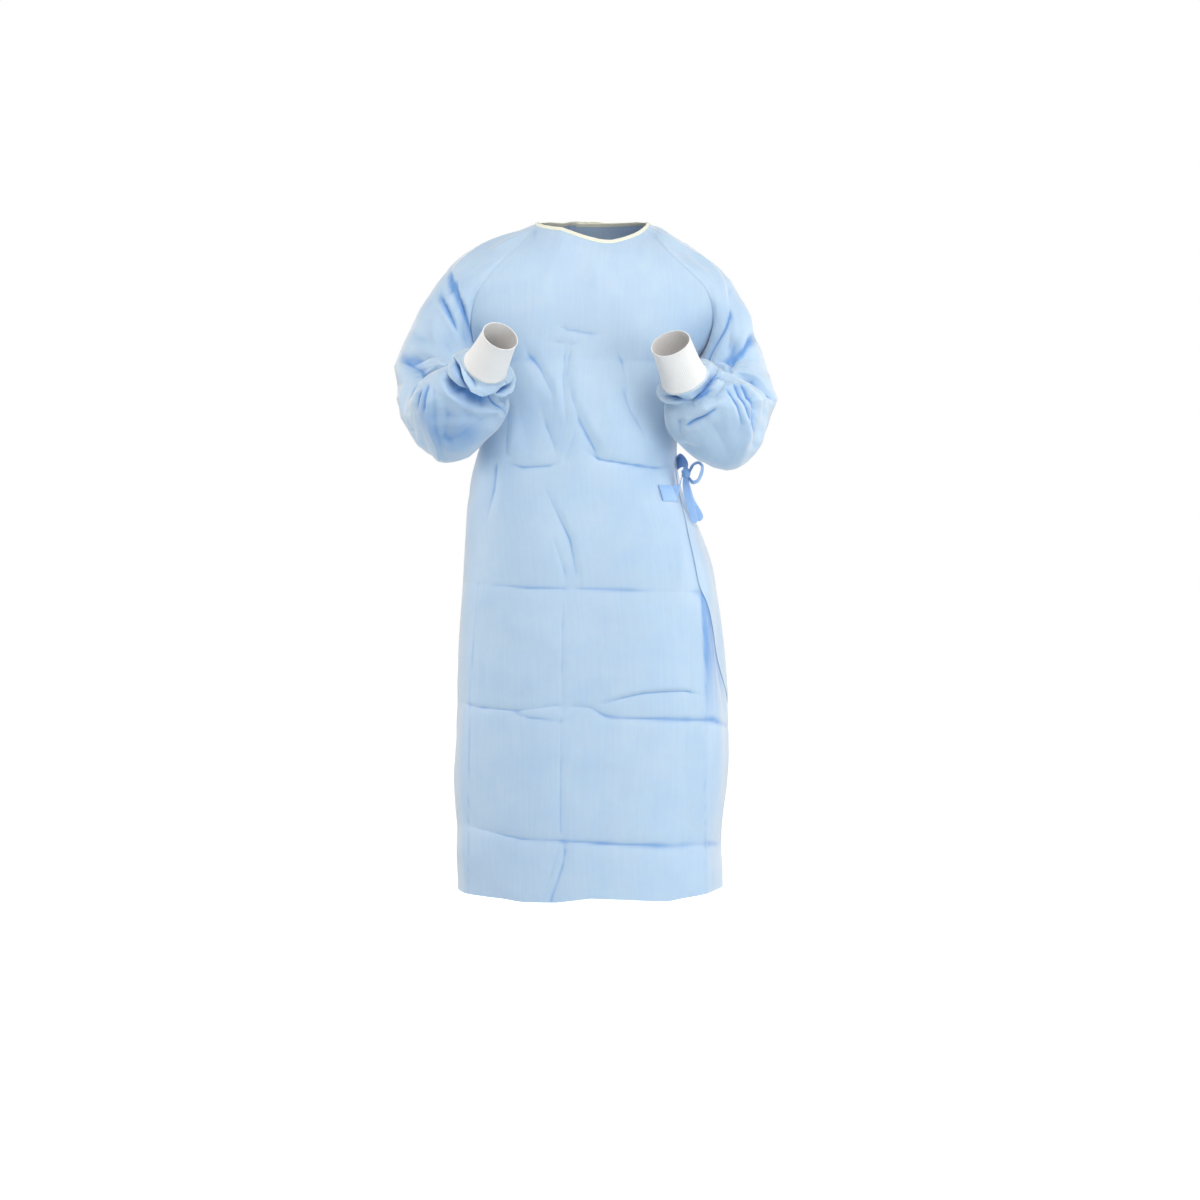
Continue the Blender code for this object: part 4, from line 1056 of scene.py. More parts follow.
# in mm: station, x, inner y z, outer y z, half width, yaw, tilt: rings of the sleeves from underarm to cuff
sleeveRings = {
    "right": inMetres((
        (0, -263, -97, -245, 87, -245, 78, 0, 0),
        (1, -262, -113, -253, 62, -300, 75, 3, 4),
        (2, -258, -122, -260, 18, -362, 74, 6, 8),
        (3, -251, -128, -265, -38, -406, 72, 9, 11),
        (4, -242, -134, -268, -104, -419, 72, 11, 13),
        (5, -231, -141, -269, -166, -401, 75, 13, 15),
        (6, -216, -151, -268, -209, -369, 78, 14, 16),
        (7, -200, -163, -264, -234, -341, 66, 15, 16),
        (8, -190, -179, -256, -244, -324, 51, 15, 16),
        (9, -181, -187, -244, -258, -313, 54, 15, 16),
        (10, -178, -202, -240, -262, -302, 45, 15, 16),
        (11, -175, -214, -237, -266, -293, 37, 15, 16),
    ), 1, 2),
    "left": inMetres((
        (0, 239, -97, -245, 87, -245, 64, 0, 0),
        (1, 243, -113, -254, 62, -303, 67, 2, 3),
        (2, 242, -122, -262, 18, -366, 71.5, 5, 6),
        (3, 234, -128, -268, -38, -412, 71, 8, 9),
        (4, 221, -134, -272, -104, -428, 74, 10, 11),
        (5, 208, -141, -275, -168, -414, 78, 12, 13),
        (6, 194, -151, -276, -211, -385, 77, 12, 14),
        (7, 184, -163, -274, -238, -356, 68, 12, 14),
        (8, 171, -178, -269, -249, -336, 52, 12, 14),
        (9, 163, -186, -260, -259, -326, 53, 12, 14),
        (10, 157, -199, -259, -264, -317, 45, 12, 14),
        (11, 152, -211, -259, -269, -310, 38.5, 12, 14),
    ), 1, 2),
}
sleeve = {
    "rows": 236, "columns": 190, "wall": 0.0008, "rings": 16, "lastStation": 11, "lastRow": 22,
    "rowCentres": (11.2, 18.6), "rowSpread": 2.2, "rowExtra": 0.9, "turnLength": 275, "rowLength": 34,
    "rise": 0.0022, "riseSize": 0.07, "ripple": 0.0005, "rippleSize": 0.025,
    "facet": 0.0036, "facetSize": 0.048,
    "foldScale": 1.8, "hollowDepth": 0.0028, "lip": 0.25, "line": -2.2, "narrow": 5, "gather": 6.5,
    # painted shade beside the sleeve's creases, and broad painted shade over each forearm
    "paintedShade": {"line": 0.85, "shade": 1.0, "narrow": 5}, "paintedForearmShade": {"line": 0, "shade": 1, "narrow": 0},
    # the cloth blouses over the cuff's seam and is drawn in behind that: station, spread, height
    "wristRings": ((9.3, 0.75, 0.005), (8.05, 0.38, -0.006)), "wristFrom": (6.5, 7.5),
    "wristFade": 0.9, "seamRows": 0.5, "seamFade": 0.12,
    # the columns lie closer together in front: how much, from which rows, and where they move round the arm
    "closer": 0.35, "closerRows": (5, 7), "turnRows": (8, 13),
    # where each part shows and where painted shade goes, by how far it faces the front, by station or by place
    "creased": (0.0, 0.35), "paintedShadeFacing": (0.1, 0.6), "edgeways": (0.5, 0.95), "hidden": (-0.15, 0.25),
    "upperDeep": (-0.150, -0.128), "upperTo": (-3.6, -2.6), "foreDeep": (0.112, 0.128), "foreFrom": (2.8, 3.8),
    "upperPaintedShadeTo": (-4.6, -3.8), "forePaintedShadeFrom": (2.0, 2.8), "shadeFrom": (2.6, 3.6),
}
# loose folds of the hidden sides, in mm on the flat cloth: a fan in the elbow, and long ones on the upper arm.
# How many, where round and along, mean lean and its scatter, length, height, reach
looseFolds = (
    (16, (-40, 275), (221, 459), (0, 16), (60, 150), (2.0, 5.0), (5, 14)),
    (12, (-40, 250), (51, 238), (82, 18), (70, 160), (1.5, 4.0), (7, 16)),
)
# seeds for the two sets of loose folds and for the relief
sleeveSeeds = {"right": (41, 42, 43), "left": (51, 52, 53)}
outwardOf = {"right": -1, "left": 1}
# creases of each sleeve as seen from the front
sleeveCreases = {
    "rightUpper": (
        (-4.4, 2.5, 16, 1, (-246, 84, 0), (-241, 97, .7), (-223, 145, 1), (-206, 196, .9), (-200, 214, 0)),
        (-2.4, 3, 9, 1.4, (-248, 74, 0), (-246, 82, 1), (-246, 112, .6), (-246, 122, 0)),
        (-3, 3, 4.5, 1.2, (-270, 114, 0), (-264, 123, .8), (-250, 150, 1), (-236, 177, .7), (-230, 190, 0)),
        (3, 16, 16, 5, (-300, 130, 0), (-286, 160, 1), (-270, 210, 1), (-262, 236, 0)),
        (2.6, 12, 12, 4, (-232, 96, 0), (-218, 130, 1), (-204, 170, 1), (-196, 200, 0)),
        (-2.6, 10, 12, 3, (-262, 190, 0), (-246, 214, 1), (-228, 236, .8), (-214, 246, 0)),
        (-.8, 3, 4, 3, (-219, 82, 0), (-208, 88, 1), (-196, 100, .8), (-190, 112, 0)),
        (-7, 15, 15, 2, (-338, 222, .4), (-318, 238, .9), (-300, 250, 1), (-290, 260, .8)),
        (-7, 4, 7, 1, (-300, 262, .4), (-289, 263, 1), (-268, 258, 1), (-249, 254, .8), (-238, 252, .2)),
        (4, 10, 22, 5, (-330, 200, 0), (-300, 218, 1), (-270, 232, 1), (-244, 232, 0)),
    ),
    "rightFore": (
        (-2.6, 3, 5, 1, (-295, 272, 0), (-300, 278, .8), (-308, 287, 1), (-318, 303, .4), (-322, 309, 0)),
        (-3, 3, 4, 1, (-292, 282, 0), (-298, 296, 1), (-304, 318, .5), (-306, 324, 0)),
        (-2.6, 3, 5, 1, (-284, 272, 0), (-285, 290, 1), (-287, 318, .5), (-288, 326, 0)),
        (3.2, 5, 12, 1.5, (-284, 282, 0), (-283, 292, .8), (-280, 360, 1), (-265, 407, .7), (-258, 416, 0)),
        (-4.4, 10, 9, 2.5, (-316, 308, 0), (-317, 324, 1), (-318, 362, .8), (-306, 392, 0)),
        (-3, 12, 14, 3, (-252, 382, 0), (-246, 374, 1), (-210, 352, 1), (-171, 330, .8), (-164, 326, 0)),
        (3, 10, 10, 3, (-216, 314, 0), (-205, 318, 1), (-166, 324, .8), (-156, 322, 0)),
        (-9, 3, 9, 1.2, (-252, 256, .2), (-249, 263, .7), (-236, 284, 1), (-215, 299, 1), (-192, 310, .8),
            (-170, 306, .5)),
        (-8, 2.5, 8, 1, (-242, 227, .5), (-234, 244, 1), (-224, 274, 1), (-211, 292, 1), (-189, 302, 1),
            (-166, 296, 1), (-140, 277, 1), (-131, 263, 1), (-134, 248, .6)),
        (-2.6, 3, 4, 1, (-196, 262, 0), (-186, 270, .8), (-176, 268, 1), (-160, 270, .6), (-150, 262, 0)),
        (-2.4, 3, 3, 1, (-222, 250, 0), (-212, 262, 1), (-204, 276, .6), (-200, 284, 0)),
        (-3.2, 4, 8, 1.5, (-180, 300, .3), (-166, 312, 1), (-154, 320, .7), (-150, 330, 0)),
        (-2.4, 9, 10, 3, (-260, 300, 0), (-250, 330, 1), (-256, 372, .8), (-262, 390, 0)),
        (2.2, 16, 16, 5, (-236, 322, 0), (-226, 344, 1), (-236, 388, .6), (-240, 400, 0)),
    ),
    "leftUpper": (
        (-2.2, 4, 7, 1.4, (243, 146, 0), (243, 156, .8), (222, 196, 1), (197, 243, .8), (192, 252, 0)),
        (-2.6, 5, 9, 1.6, (292, 196, 0), (285, 198, .8), (270, 203, 1), (262, 222, .9), (239, 243, .7),
            (232, 250, 0)),
        (-3, 12, 12, 3, (246, 98, 0), (243, 112, 1), (238, 140, .9), (221, 171, .8), (212, 190, 0)),
        (-5, 7, 9, 2, (212, 246, 0), (218, 253, 1), (234, 266, 1), (244, 270, .4)),
        (-7, 4, 7, 1, (206, 262, .5), (219, 266, 1), (236, 252, .8), (242, 247, 0)),
        (-5, 5, 3, 1, (210, 265, .5), (222, 268, 1), (255, 268, 1), (280, 273, .9), (310, 302, .5),
            (318, 312, 0)),
        (2.8, 14, 14, 4, (226, 122, 0), (214, 170, 1), (204, 214, .8), (200, 236, 0)),
        (3.2, 15, 15, 4, (282, 124, 0), (270, 160, 1), (256, 200, .7), (248, 216, 0)),
        (3, 12, 14, 4, (306, 204, 0), (286, 232, 1), (262, 252, .9), (248, 258, 0)),
        (-3, 8, 8, 2, (230, 206, 0), (246, 214, 1), (240, 232, .6), (230, 240, 0)),
    ),
    "leftFore": (
        (5, 7, 7, 1.2, (226, 282, .2), (240, 281, .9), (260, 283, 1), (284, 294, 1), (314, 320, .8),
            (322, 328, 0)),
        (-5, 5, 3, 1, (212, 266, .5), (222, 268, 1), (255, 268, 1), (280, 273, .9), (310, 302, .5),
            (318, 312, 0)),
        (-3.4, 3, 5, 1, (252, 279, .4), (256, 284, 1), (277, 302, 1), (285, 316, .5), (288, 322, 0)),
        (-3.2, 3, 6, 1, (240, 279, .4), (247, 286, 1), (265, 308, 1), (273, 336, .6), (275, 344, 0)),
        (-2.6, 3, 4, 1, (230, 282, .3), (240, 296, 1), (252, 316, .8), (260, 344, .3), (262, 352, 0)),
        (-5.4, 12, 9, 2.2, (284, 306, 0), (283, 322, 1), (284, 346, 1), (290, 362, .9), (284, 384, .5),
            (280, 396, 0)),
        (3, 8, 8, 2, (272, 300, 0), (276, 330, 1), (270, 372, .8), (258, 404, 0)),
        (-3.4, 4, 9, 1.4, (158, 350, 0), (166, 348, .8), (192, 336, 1), (211, 322, .7), (220, 316, 0)),
        (-4, 8, 10, 2.4, (150, 384, .3), (160, 386, 1), (180, 392, .9), (192, 404, .4), (196, 410, 0)),
        (-9, 3, 9, 1, (216, 258, .6), (206, 276, 1), (194, 292, 1), (176, 310, .9), (164, 311, 1),
            (136, 305, .9), (122, 298, .5)),
        (-5.5, 3, 6, 1, (124, 300, .4), (136, 306, 1), (158, 312, 1), (170, 313, .8), (180, 306, 0)),
        (-5.5, 3, 6, 1, (166, 314, .4), (180, 309, 1), (197, 297, 1), (203, 288, .6), (206, 282, 0)),
        (-1.4, 5, 9, 2.4, (198, 300, 0), (214, 300, .8), (222, 322, 1), (224, 350, .6), (224, 366, 0)),
        (2.6, 10, 10, 3, (178, 330, 0), (196, 320, 1), (214, 306, .7), (220, 300, 0)),
        (-2.6, 10, 12, 3, (206, 344, 0), (216, 362, 1), (232, 392, .8), (240, 408, 0)),
        (-3, 7, 7, 2, (140, 332, 0), (150, 344, 1), (152, 360, .8), (160, 372, 0)),
    ),
}


# flat places and corners on the outline of each elbow, and the broad painted shade of each forearm
elbowFacets = {
    "right": (
        (-10, 24, 24, 8, (-332, 336, 0), (-318, 360, .7), (-299, 394, 1), (-280, 410, .8), (-258, 420, 0)),
        (3, 10, 10, 4, (-276, 400, 0), (-268, 414, 1), (-256, 418, 0)),
    ),
    "left": (
        (-8, 22, 22, 8, (318, 316, 0), (314, 334, .7), (303, 360, 1), (284, 388, .7), (262, 408, 0)),
        (5, 12, 12, 5, (306, 282, 0), (315, 303, 1), (313, 316, 0)),
        (5, 12, 12, 5, (262, 404, 0), (232, 420, 1), (212, 418, .6), (196, 410, 0)),
    ),
}
forearmShades = {
    "right": (
        (-6, 60, 60, 1, (-304, 290, .3), (-292, 330, .7), (-262, 370, .7), (-214, 362, .8), (-180, 345, .3)),
    ),
    "left": (
        (-6, 26, 26, 1, (306, 330, .3), (296, 350, .5), (286, 372, .3)),
    ),
}


def ringFrame(side, ring):
    x, innerY, innerZ, outerY, outerZ, across, yaw, tilt = apart(smoothRows(sleeveRings[side], ring))
    yaw, tilt = np.radians(yaw), np.radians(tilt)
    flat = np.cos(tilt)
    width = stacked(outwardOf[side] * np.cos(yaw) * flat, -np.sin(yaw) * flat, np.sin(tilt))
    deep = stacked(0 * x, innerY - outerY, innerZ - outerZ) / 2
    halfDepth = np.linalg.norm(deep, axis=-1, keepdims=True)
    deep = unit(deep - width * (deep * width).sum(axis=-1, keepdims=True)) * halfDepth
    centre = stacked(x, (innerY + outerY) / 2, (innerZ + outerZ) / 2)
    return centre, width * across[..., None], deep


# turn is 0 along the top of the sleeve, -1 at the front seam and 1 at the back seam
def sleeveForm(side, row, turn):
    row, turn = np.broadcast_arrays(np.asarray(row, float), np.asarray(turn, float))
    ring = sleeve["lastStation"] * np.maximum(row - underarmRow, 0) / sleeve["rings"]
    centre, width, deep = ringFrame(side, ring)
    around = (np.pi * turn)[..., None]
    lower = centre + width * np.cos(around) - deep * np.sin(around)
    values = smoothRows(yokes[side], np.minimum(row, underarmRow))
    top, depth = values[..., 3:6], values[..., 9:10]
    inFront = (turn < 0)[..., None]
    end = np.where(inFront, values[..., 0:3], values[..., 6:9])
    full = np.radians(np.where(inFront, values[..., 10:11], values[..., 11:12]))
    around = full * np.abs(turn)[..., None]
    drop = (1 - np.cos(around)) / (1 - np.cos(full))
    forward = np.where(inFront, -1.0, 1.0) * depth * np.array((0.0, 1.0, 0.0))
    upper = top + (end - top) * drop + forward * (np.sin(around) - np.sin(full) * drop)
    return np.where((row >= underarmRow)[..., None], lower, upper)


foldShape = {"bow": 0.3, "soft": 2.0, "ways": (-1.0, -1.0, 1.0)}
foldPath = ((-1.0, 0), (-0.5, 0.8), (0.1, 1.0), (0.6, 0.7), (1.0, 0))  # along each fold, and the strength there


def looseCreases(seed, count, across, along, lean, length, height, spread):
    rng = np.random.default_rng(seed)
    creases = []
    for _ in range(count):
        middle = np.array((rng.uniform(*across), rng.uniform(*along)))
        turn = math.radians(rng.normal(*lean))
        step = np.array((math.cos(turn), math.sin(turn))) * rng.uniform(*length) / 2
        side = np.array((-step[1], step[0])) * rng.uniform(-foldShape["bow"], foldShape["bow"])
        path = [(*(middle + step * at + side * (1 - at * at)), strength) for at, strength in foldPath]
        reaches = rng.uniform(*spread, 2)
        high = rng.uniform(*height) * rng.choice(foldShape["ways"])
        creases.append((high, *reaches, foldShape["soft"], *path))
    return creases


# how much of the upper arm's and of the forearm's creases each point takes
def sleeveWeights(points, normals, station):
    facing = smoothStep(-normals[..., 1], *sleeve["creased"])
    y = points[..., 1]
    upper = smoothStep(y, *sleeve["upperDeep"]) * smoothStep(-station, *sleeve["upperTo"])
    fore = smoothStep(-y, *sleeve["foreDeep"]) * smoothStep(station, *sleeve["foreFrom"])
    return facing * upper, facing * fore


def sleeveSurface(side, row, turn):
    points = sleeveForm(side, row, turn)
    station = sleeve["lastStation"] * (row - underarmRow) / sleeve["rings"] + 0 * turn
    arms = [sleeveCreases[side + arm] for arm in ("Upper", "Fore")]
    for creases, weight in zip(arms, sleeveWeights(points, outwardOf[side] * gridNormals(points), station)):
        points = gatherPoints(points, narrowOnes(creases, sleeve["narrow"]), weight, sleeve["gather"])
    normals = outwardOf[side] * gridNormals(points)
    seen, ahead = frontView(points), -normals[..., 1]
    # painted shade: beside the creases that face the front, and broad over each forearm
    facing = smoothStep(ahead, *sleeve["paintedShadeFacing"])
    near = smoothStep(-station, *sleeve["upperPaintedShadeTo"]), smoothStep(station, *sleeve["forePaintedShadeFrom"])
    paintedShade = blurred(facing * np.maximum(*(paintedCreaseShade(seen, creases, sleeve["paintedShade"]) * part
                                         for creases, part in zip(arms, near))), 1)
    shade = paintedCreaseShade(seen, forearmShades[side], sleeve["paintedForearmShade"])
    paintedShade = paintedShade + facing * shade * smoothStep(station, *sleeve["shadeFrom"])
    raised = 0
    for creases, weight in zip(arms, sleeveWeights(points, normals, station)):
        lines = sharpLines(creases, sleeve["line"], sleeve["narrow"])
        folds = addCreases(seen, creases, sleeve["lip"]) * sleeve["foldScale"]
        raised = raised + (folds + addCreases(seen, lines)) * weight
    for place, spread, height in sleeve["wristRings"]:
        ring = np.exp(-((station - place) / spread) ** 2)
        raised = raised + height * smoothStep(station, *sleeve["wristFrom"]) * ring
    raised = raised + addCreases(seen, elbowFacets[side]) * (1 - smoothStep(np.abs(ahead), *sleeve["edgeways"]))
    flat = stacked(turn * sleeve["turnLength"] + 0 * row, row * sleeve["rowLength"] + 0 * turn)
    seeds = sleeveSeeds[side]
    loose = [crease for seed, folds in zip(seeds, looseFolds) for crease in looseCreases(seed, *folds)]
    raised = raised + addCreases(flat, loose) * (1 - smoothStep(ahead, *sleeve["hidden"]))
    raised = raised + relief(points, flat / 1000, sleeve, seeds[2])
    onYoke, fromSeam = row < underarmRow, 1 - np.abs(turn)
    ends = smoothStep(row, 0, seams["neckFade"]) * smoothStep(sleeve["lastRow"] - row, 0, sleeve["wristFade"])
    nearSeam = row < underarmRow + sleeve["seamRows"]
    raised = raised * ends * np.where(nearSeam, smoothStep(fromSeam, 0, sleeve["seamFade"]), 1.0)
    groove = seamGroove(np.where(onYoke, fromSeam * sleeve["seamFade"], 1.0))
    return points + normals * (raised - groove)[..., None], paintedShade


def makeSleeve(side):
    row = packed(0, sleeve["lastRow"], sleeve["rows"], sleeve["rowCentres"], sleeve["rowSpread"],
                 sleeve["rowExtra"])[:, None]
    turn = np.linspace(-1, 1, sleeve["columns"])[None, :]
    closer = sleeve["closer"] * smoothStep(row, *sleeve["closerRows"])
    turn = turn - closer / np.pi * np.sin(np.pi * (turn + 0.5 - smoothStep(row, *sleeve["turnRows"])))
    points, paintedShade = sleeveSurface(side, row, turn)
    closedFrom = int(np.argmax(row[:, 0] >= underarmRow))
    points[closedFrom:, -1] = points[closedFrom:, 0]
    return addShell("sleeve" + side.capitalize(), points, sleeve["wall"], gownCloth, closedFrom,
                    flip=side == "right", depth=sleeve["hollowDepth"], paintedShade=paintedShade)


for side in ("right", "left"):
    finishSheet(makeSleeve(side), "sleeve_" + side)
print("sleeves made")


cuff = {
    "rows": 30, "columns": 350, "wall": 0.0011, "ribs": 70, "ribHeight": 0.00022, "waist": -0.0012, "seed": 61,
    "length": {"right": 0.0710, "left": 0.0740}, "fingerEnd": {"right": 0.0300, "left": 0.0325},
    "rise": 0.0009, "riseSize": 0.030, "riseFrom": 0.2, "tuck": 0.0060, "tuckIn": 3,
    # the turned hem at the fingers and the ridge at the sleeve: place along the cuff, spread, height
    "ridges": ((0.985, 0.02, 0.0005), (0.02, 0.03, 0.0010)),
}


def makeCuff(side):
    centre, width, deep = ringFrame(side, np.array(float(sleeve["lastStation"])))
    length, wide = cuff["length"][side], np.linalg.norm(width)
    axis = outwardOf[side] * unit(np.cross(width, deep))
    part = np.linspace(-cuff["tuck"] / length, 1, cuff["rows"])[:, None, None]
    around = np.linspace(-np.pi, np.pi, cuff["columns"] + 1)[None, :, None]
    tucked = np.minimum(part, 0) * cuff["tuckIn"] * cuff["tuck"] / wide
    size = 1 + (cuff["fingerEnd"][side] / wide - 1) * np.maximum(part, 0) + tucked
    ring = (width * np.cos(around) - deep * np.sin(around)) * size
    points = centre + axis * length * part + ring
    raised = cuff["ribHeight"] * np.cos(cuff["ribs"] * around)
    raised = raised + cuff["waist"] * np.sin(np.pi * np.clip(part, 0, 1))
    uneven = cuff["rise"] * unevenness(points, cuff["riseSize"], cuff["seed"])
    raised = raised + uneven[..., None] * np.clip(part / cuff["riseFrom"], 0, 1)
    for place, spread, height in cuff["ridges"]:
        raised = raised + height * np.exp(-((part - place) / spread) ** 2)
    points = points + unit(ring) * raised
    points[:, -1] = points[:, 0]
    return addShell("cuff" + side.capitalize(), points, cuff["wall"], knit, 0, flip=side == "right")


for side in ("right", "left"):
    finishSheet(makeCuff(side), "cuff_" + side)
print("cuffs made")


# closed rings of points joined into a rod with flat ends; every ring has the same even number of points
def addLoft(name, rings, material, sharp=60):
    count, around = rings.shape[:2]
    numbers = np.arange(count * around).reshape(count, around)
    ahead = np.roll(numbers, -1, axis=1)
    sides = stacked(numbers[:-1], numbers[1:], ahead[1:], ahead[:-1]).reshape(-1, 4)
    half = np.arange(around // 2 - 1)
    cap = stacked(half, half + 1, around - 2 - half, around - 1 - half)
    faces = np.concatenate((sides, cap, cap[:, ::-1] + (count - 1) * around))
    clothMap = gridMap(np.concatenate((rings, rings[:, :1]), axis=1))[:, :-1]
    first = np.cross(rings[1, 0] - rings[0, 0], rings[0, 1] - rings[0, 0])
    if np.dot(first, rings[0, 0] - rings[0].mean(axis=0)) < 0:
        faces = faces[:, ::-1]
    return addPiece(name, rings.reshape(-1, 3), faces, material, clothMap.reshape(-1, 2),
                    np.zeros(count * around), sharp)


# rings of a flat strip with round edges, along its middle: half of its width and of its thickness as vectors
def stripRings(middle, half, thick, count, edge, face, crown=0.0):
    turn = 2 * np.pi * (np.arange(count) + 0.5) / count
    across, up = (np.sign(way) * np.abs(way) ** power
                  for way, power in ((np.cos(turn), edge), (np.sin(turn), face)))
    across, up = across[None, :, None], up[None, :, None]
    return middle[:, None] + half[:, None] * across + thick[:, None] * (up + crown * (1 - across ** 2))


neckBinding = {
    "width": 0.0072, "thick": 0.002, "outline": (16, 0.6, 0.7), "overlap": 0.0012, "perEdge": 46, "under": 0.15,
    "rise": 0.0004, "riseSize": 0.02, "seed": 71, "seamDown": 0.30, "seamLift": 0.0001, "smoothing": 3,
}


# the neckline runs from the under panel round both shoulders to the wrap panel's edge
def neckline():
    count = neckBinding["perEdge"]
    rows = np.array([0.0, neckBinding["under"]])[:, None]

    def shoulder(side, start, end):
        return sleeveForm(side, rows, np.linspace(start, end, count)[None, :-1])

    # the panels are asked for from right to left, as when they are made, so that they lift outward
    def panel(surface, start, end, steps, left=1):
        return surface(rows, np.linspace(start, end, steps)[None, left:])[:, ::-1]

    return np.concatenate((
        panel(underSurface, 90, underPanel["edge"], count), shoulder("left", 1, -1),
        panel(frontSurface, -90, 90, 2 * count), shoulder("right", -1, 1),
        panel(wrapSurface, wrapPanel["neckEdge"], 270, count, 0),
    ), axis=1)


# middle line of the binding, and the ways up and out from it
def bindingLine():
    edge, below = neckline()
    upward = unit(edge - below)
    for _ in range(neckBinding["smoothing"]):
        upward[1:-1] = unit(upward[:-2] + 2 * upward[1:-1] + upward[2:])
    outward = unit(np.cross(upward, np.gradient(edge, axis=0)))
    middle = edge + upward * (neckBinding["width"] - neckBinding["overlap"]) / 2
    uneven = neckBinding["rise"] * unevenness(middle, neckBinding["riseSize"], neckBinding["seed"])
    return middle + outward * uneven[:, None], upward, outward


def makeNeckBinding():
    middle, upward, outward = bindingLine()
    half = upward * (neckBinding["width"] + neckBinding["overlap"]) / 2
    rings = stripRings(middle, half, outward * neckBinding["thick"] / 2, *neckBinding["outline"])
    return addLoft("neckBinding", rings, binding)


def bindingSeams():
    middle, upward, outward = bindingLine()
    low = middle - upward * neckBinding["width"] * neckBinding["seamDown"]
    face = outward * (neckBinding["thick"] / 2 + neckBinding["seamLift"])
    return [low + face, low - face]


finishSheet(makeNeckBinding(), "neck_binding")
print("neck binding made")


tie = {"thick": 0.0010, "outline": (14, 0.35, 0.8), "steps": 70, "crown": 0.0006, "narrowest": 0.03}
# in mm: each row is a strap's centre, and half of its width as a vector
tieRows = {
    "frontEnd": inMetres((
        (146, -70, -465.5, .5, 0, 11.5),
        (150, -66, -456, 1, 0, 8),
        (152, -60, -446, 1.5, 0, 5),
        (154, -52.7, -438.8, 1.5, 0, 3),
    ), 0),
    "sideEnd": inMetres((
        (154.5, -1, -409, 1, .5, -12),
        (160.5, -14, -413.5, 0, 0, -9.5),
        (163.5, -27, -419, -1.5, 0, -5),
        (161.2, -39.8, -425.6, -3.5, 0, -.5),
    ), 0),
    "loop": inMetres((
        (167, -46.5, -431.5, -1, 5, 1.6),
        (171, -48, -422.5, -1.6, 8, 2.2),
        (175.7, -49, -417, -.3, 8.5, 2.8),
        (183.8, -49, -415.5, 1.1, 8.5, 2.7),
        (188.6, -49, -420.5, 2.2, 8.5, 2),
        (189, -49, -427, 2.9, 8.5, .7),
        (186, -48, -437.5, 2.6, 8.2, -1.6),
        (180, -47, -447, .8, 8, -2.8),
        (173.5, -47, -449, -.4, 7.5, -2.8),
        (165.5, -46.5, -440, -1, 5, -1.6),
    ), 0),
    "longTail": inMetres((
        (160, -49, -440, 4, 1, 0),
        (160.8, -58, -453, 5.8, 1, 0),
        (162.5, -61, -467, 6.4, 2, 1),
        (166.2, -61, -480, 6.6, 2.5, 1.5),
        (170.5, -60, -495, 6.4, 2, 1),
        (174, -59, -508, 6, 2, 2),
        (177, -58, -519, 5.5, 1.8, 1.8),
    ), 0),
    "shortTail": inMetres((
        (161.8, -43, -440, 3, 1, 0),
        (166, -43, -457, 3.5, 4, 0),
        (170, -46, -470, 3, 5.5, 0),
        (173.5, -46.5, -483, 4.5, 5, 1),
        (178, -47, -495, 6.5, 3.5, 2),
        (182.5, -46.5, -506, 7.5, 2.5, 2),
        (185, -46, -515, 7.2, 2.4, 1.8),
    ), 0),
}
frontStrap = {"down": 0.4690, "from": 45.0, "to": 60.3, "half": 0.0140, "steps": 7, "gap": 0.0010}
# from and to are parts of the way from the wrap panel's edge to its side seam
sideStrap = {"down": 0.4180, "from": 4.0 / 22, "to": 1.1 / 22, "half": 0.0120, "steps": 10, "gap": 0.0014}


def addStrap(name, table, roundEnd=0.0):
    table = np.array(table)
    places = np.concatenate(([0], np.linalg.norm(np.diff(table[:, :3], axis=0), axis=1).cumsum()))
    at = np.linspace(0, places[-1], tie["steps"])
    values = smoothRows(np.column_stack((places, table)), at)
    middle, half = values[:, :3], values[:, 3:]
    if roundEnd:
        left = np.clip((places[-1] - at) / roundEnd, tie["narrowest"], 1)
        half = half * np.sqrt(1 - (1 - left) ** 2)[:, None]
    normal = unit(np.cross(np.gradient(middle, axis=0), half))
    thick = tie["thick"] / 2
    rings = stripRings(middle, half, normal * thick, *tie["outline"], tie["crown"] / thick)
    return addLoft(name, rings, tieCloth)


# rows of a strap that lies on a panel along a level line
def laidRows(surface, sizes, angles):
    downs = sizes["down"] + sizes["half"] * np.array((-1, 0, 1))
    points = surface(rowOf(downs)[:, None], angles[None, :])
    points = points + gridNormals(points) * sizes["gap"]
    return np.concatenate((points[1], (points[0] - points[2]) / 2), axis=1)


frontAngles = np.linspace(frontStrap["from"], frontStrap["to"], frontStrap["steps"])
frontRows = np.concatenate((laidRows(frontSurface, frontStrap, frontAngles), tieRows["frontEnd"]))
sideEdge = float(wrapEdgeAt(rowOf(np.array(sideStrap["down"]))))
sideAngles = sideEdge + (270 - sideEdge) * np.linspace(sideStrap["from"], sideStrap["to"], sideStrap["steps"])
sideRows = laidRows(wrapSurface, sideStrap, sideAngles)
sideRows[:, 3:] = -sideRows[:, 3:]
sideRows = np.concatenate((sideRows, tieRows["sideEnd"]))

for name, node, rows, roundEnd, flat in (
    ("tieFrontStrap", "tie_front_strap", frontRows, 0, (0.090, 0.026)),
    ("tieSideStrap", "tie_side_strap", sideRows, 0, (0.125, 0.024)),
    ("tieLoop", "tie_loop", tieRows["loop"], 0, (0.085, 0.018)),
    ("tieTailLong", "tie_tail_long", tieRows["longTail"], 0.006, (0.085, 0.014)),
    ("tieTailShort", "tie_tail_short", tieRows["shortTail"], 0.008, (0.085, 0.014)),
):
    finishSheet(addStrap(name, rows, roundEnd), node)


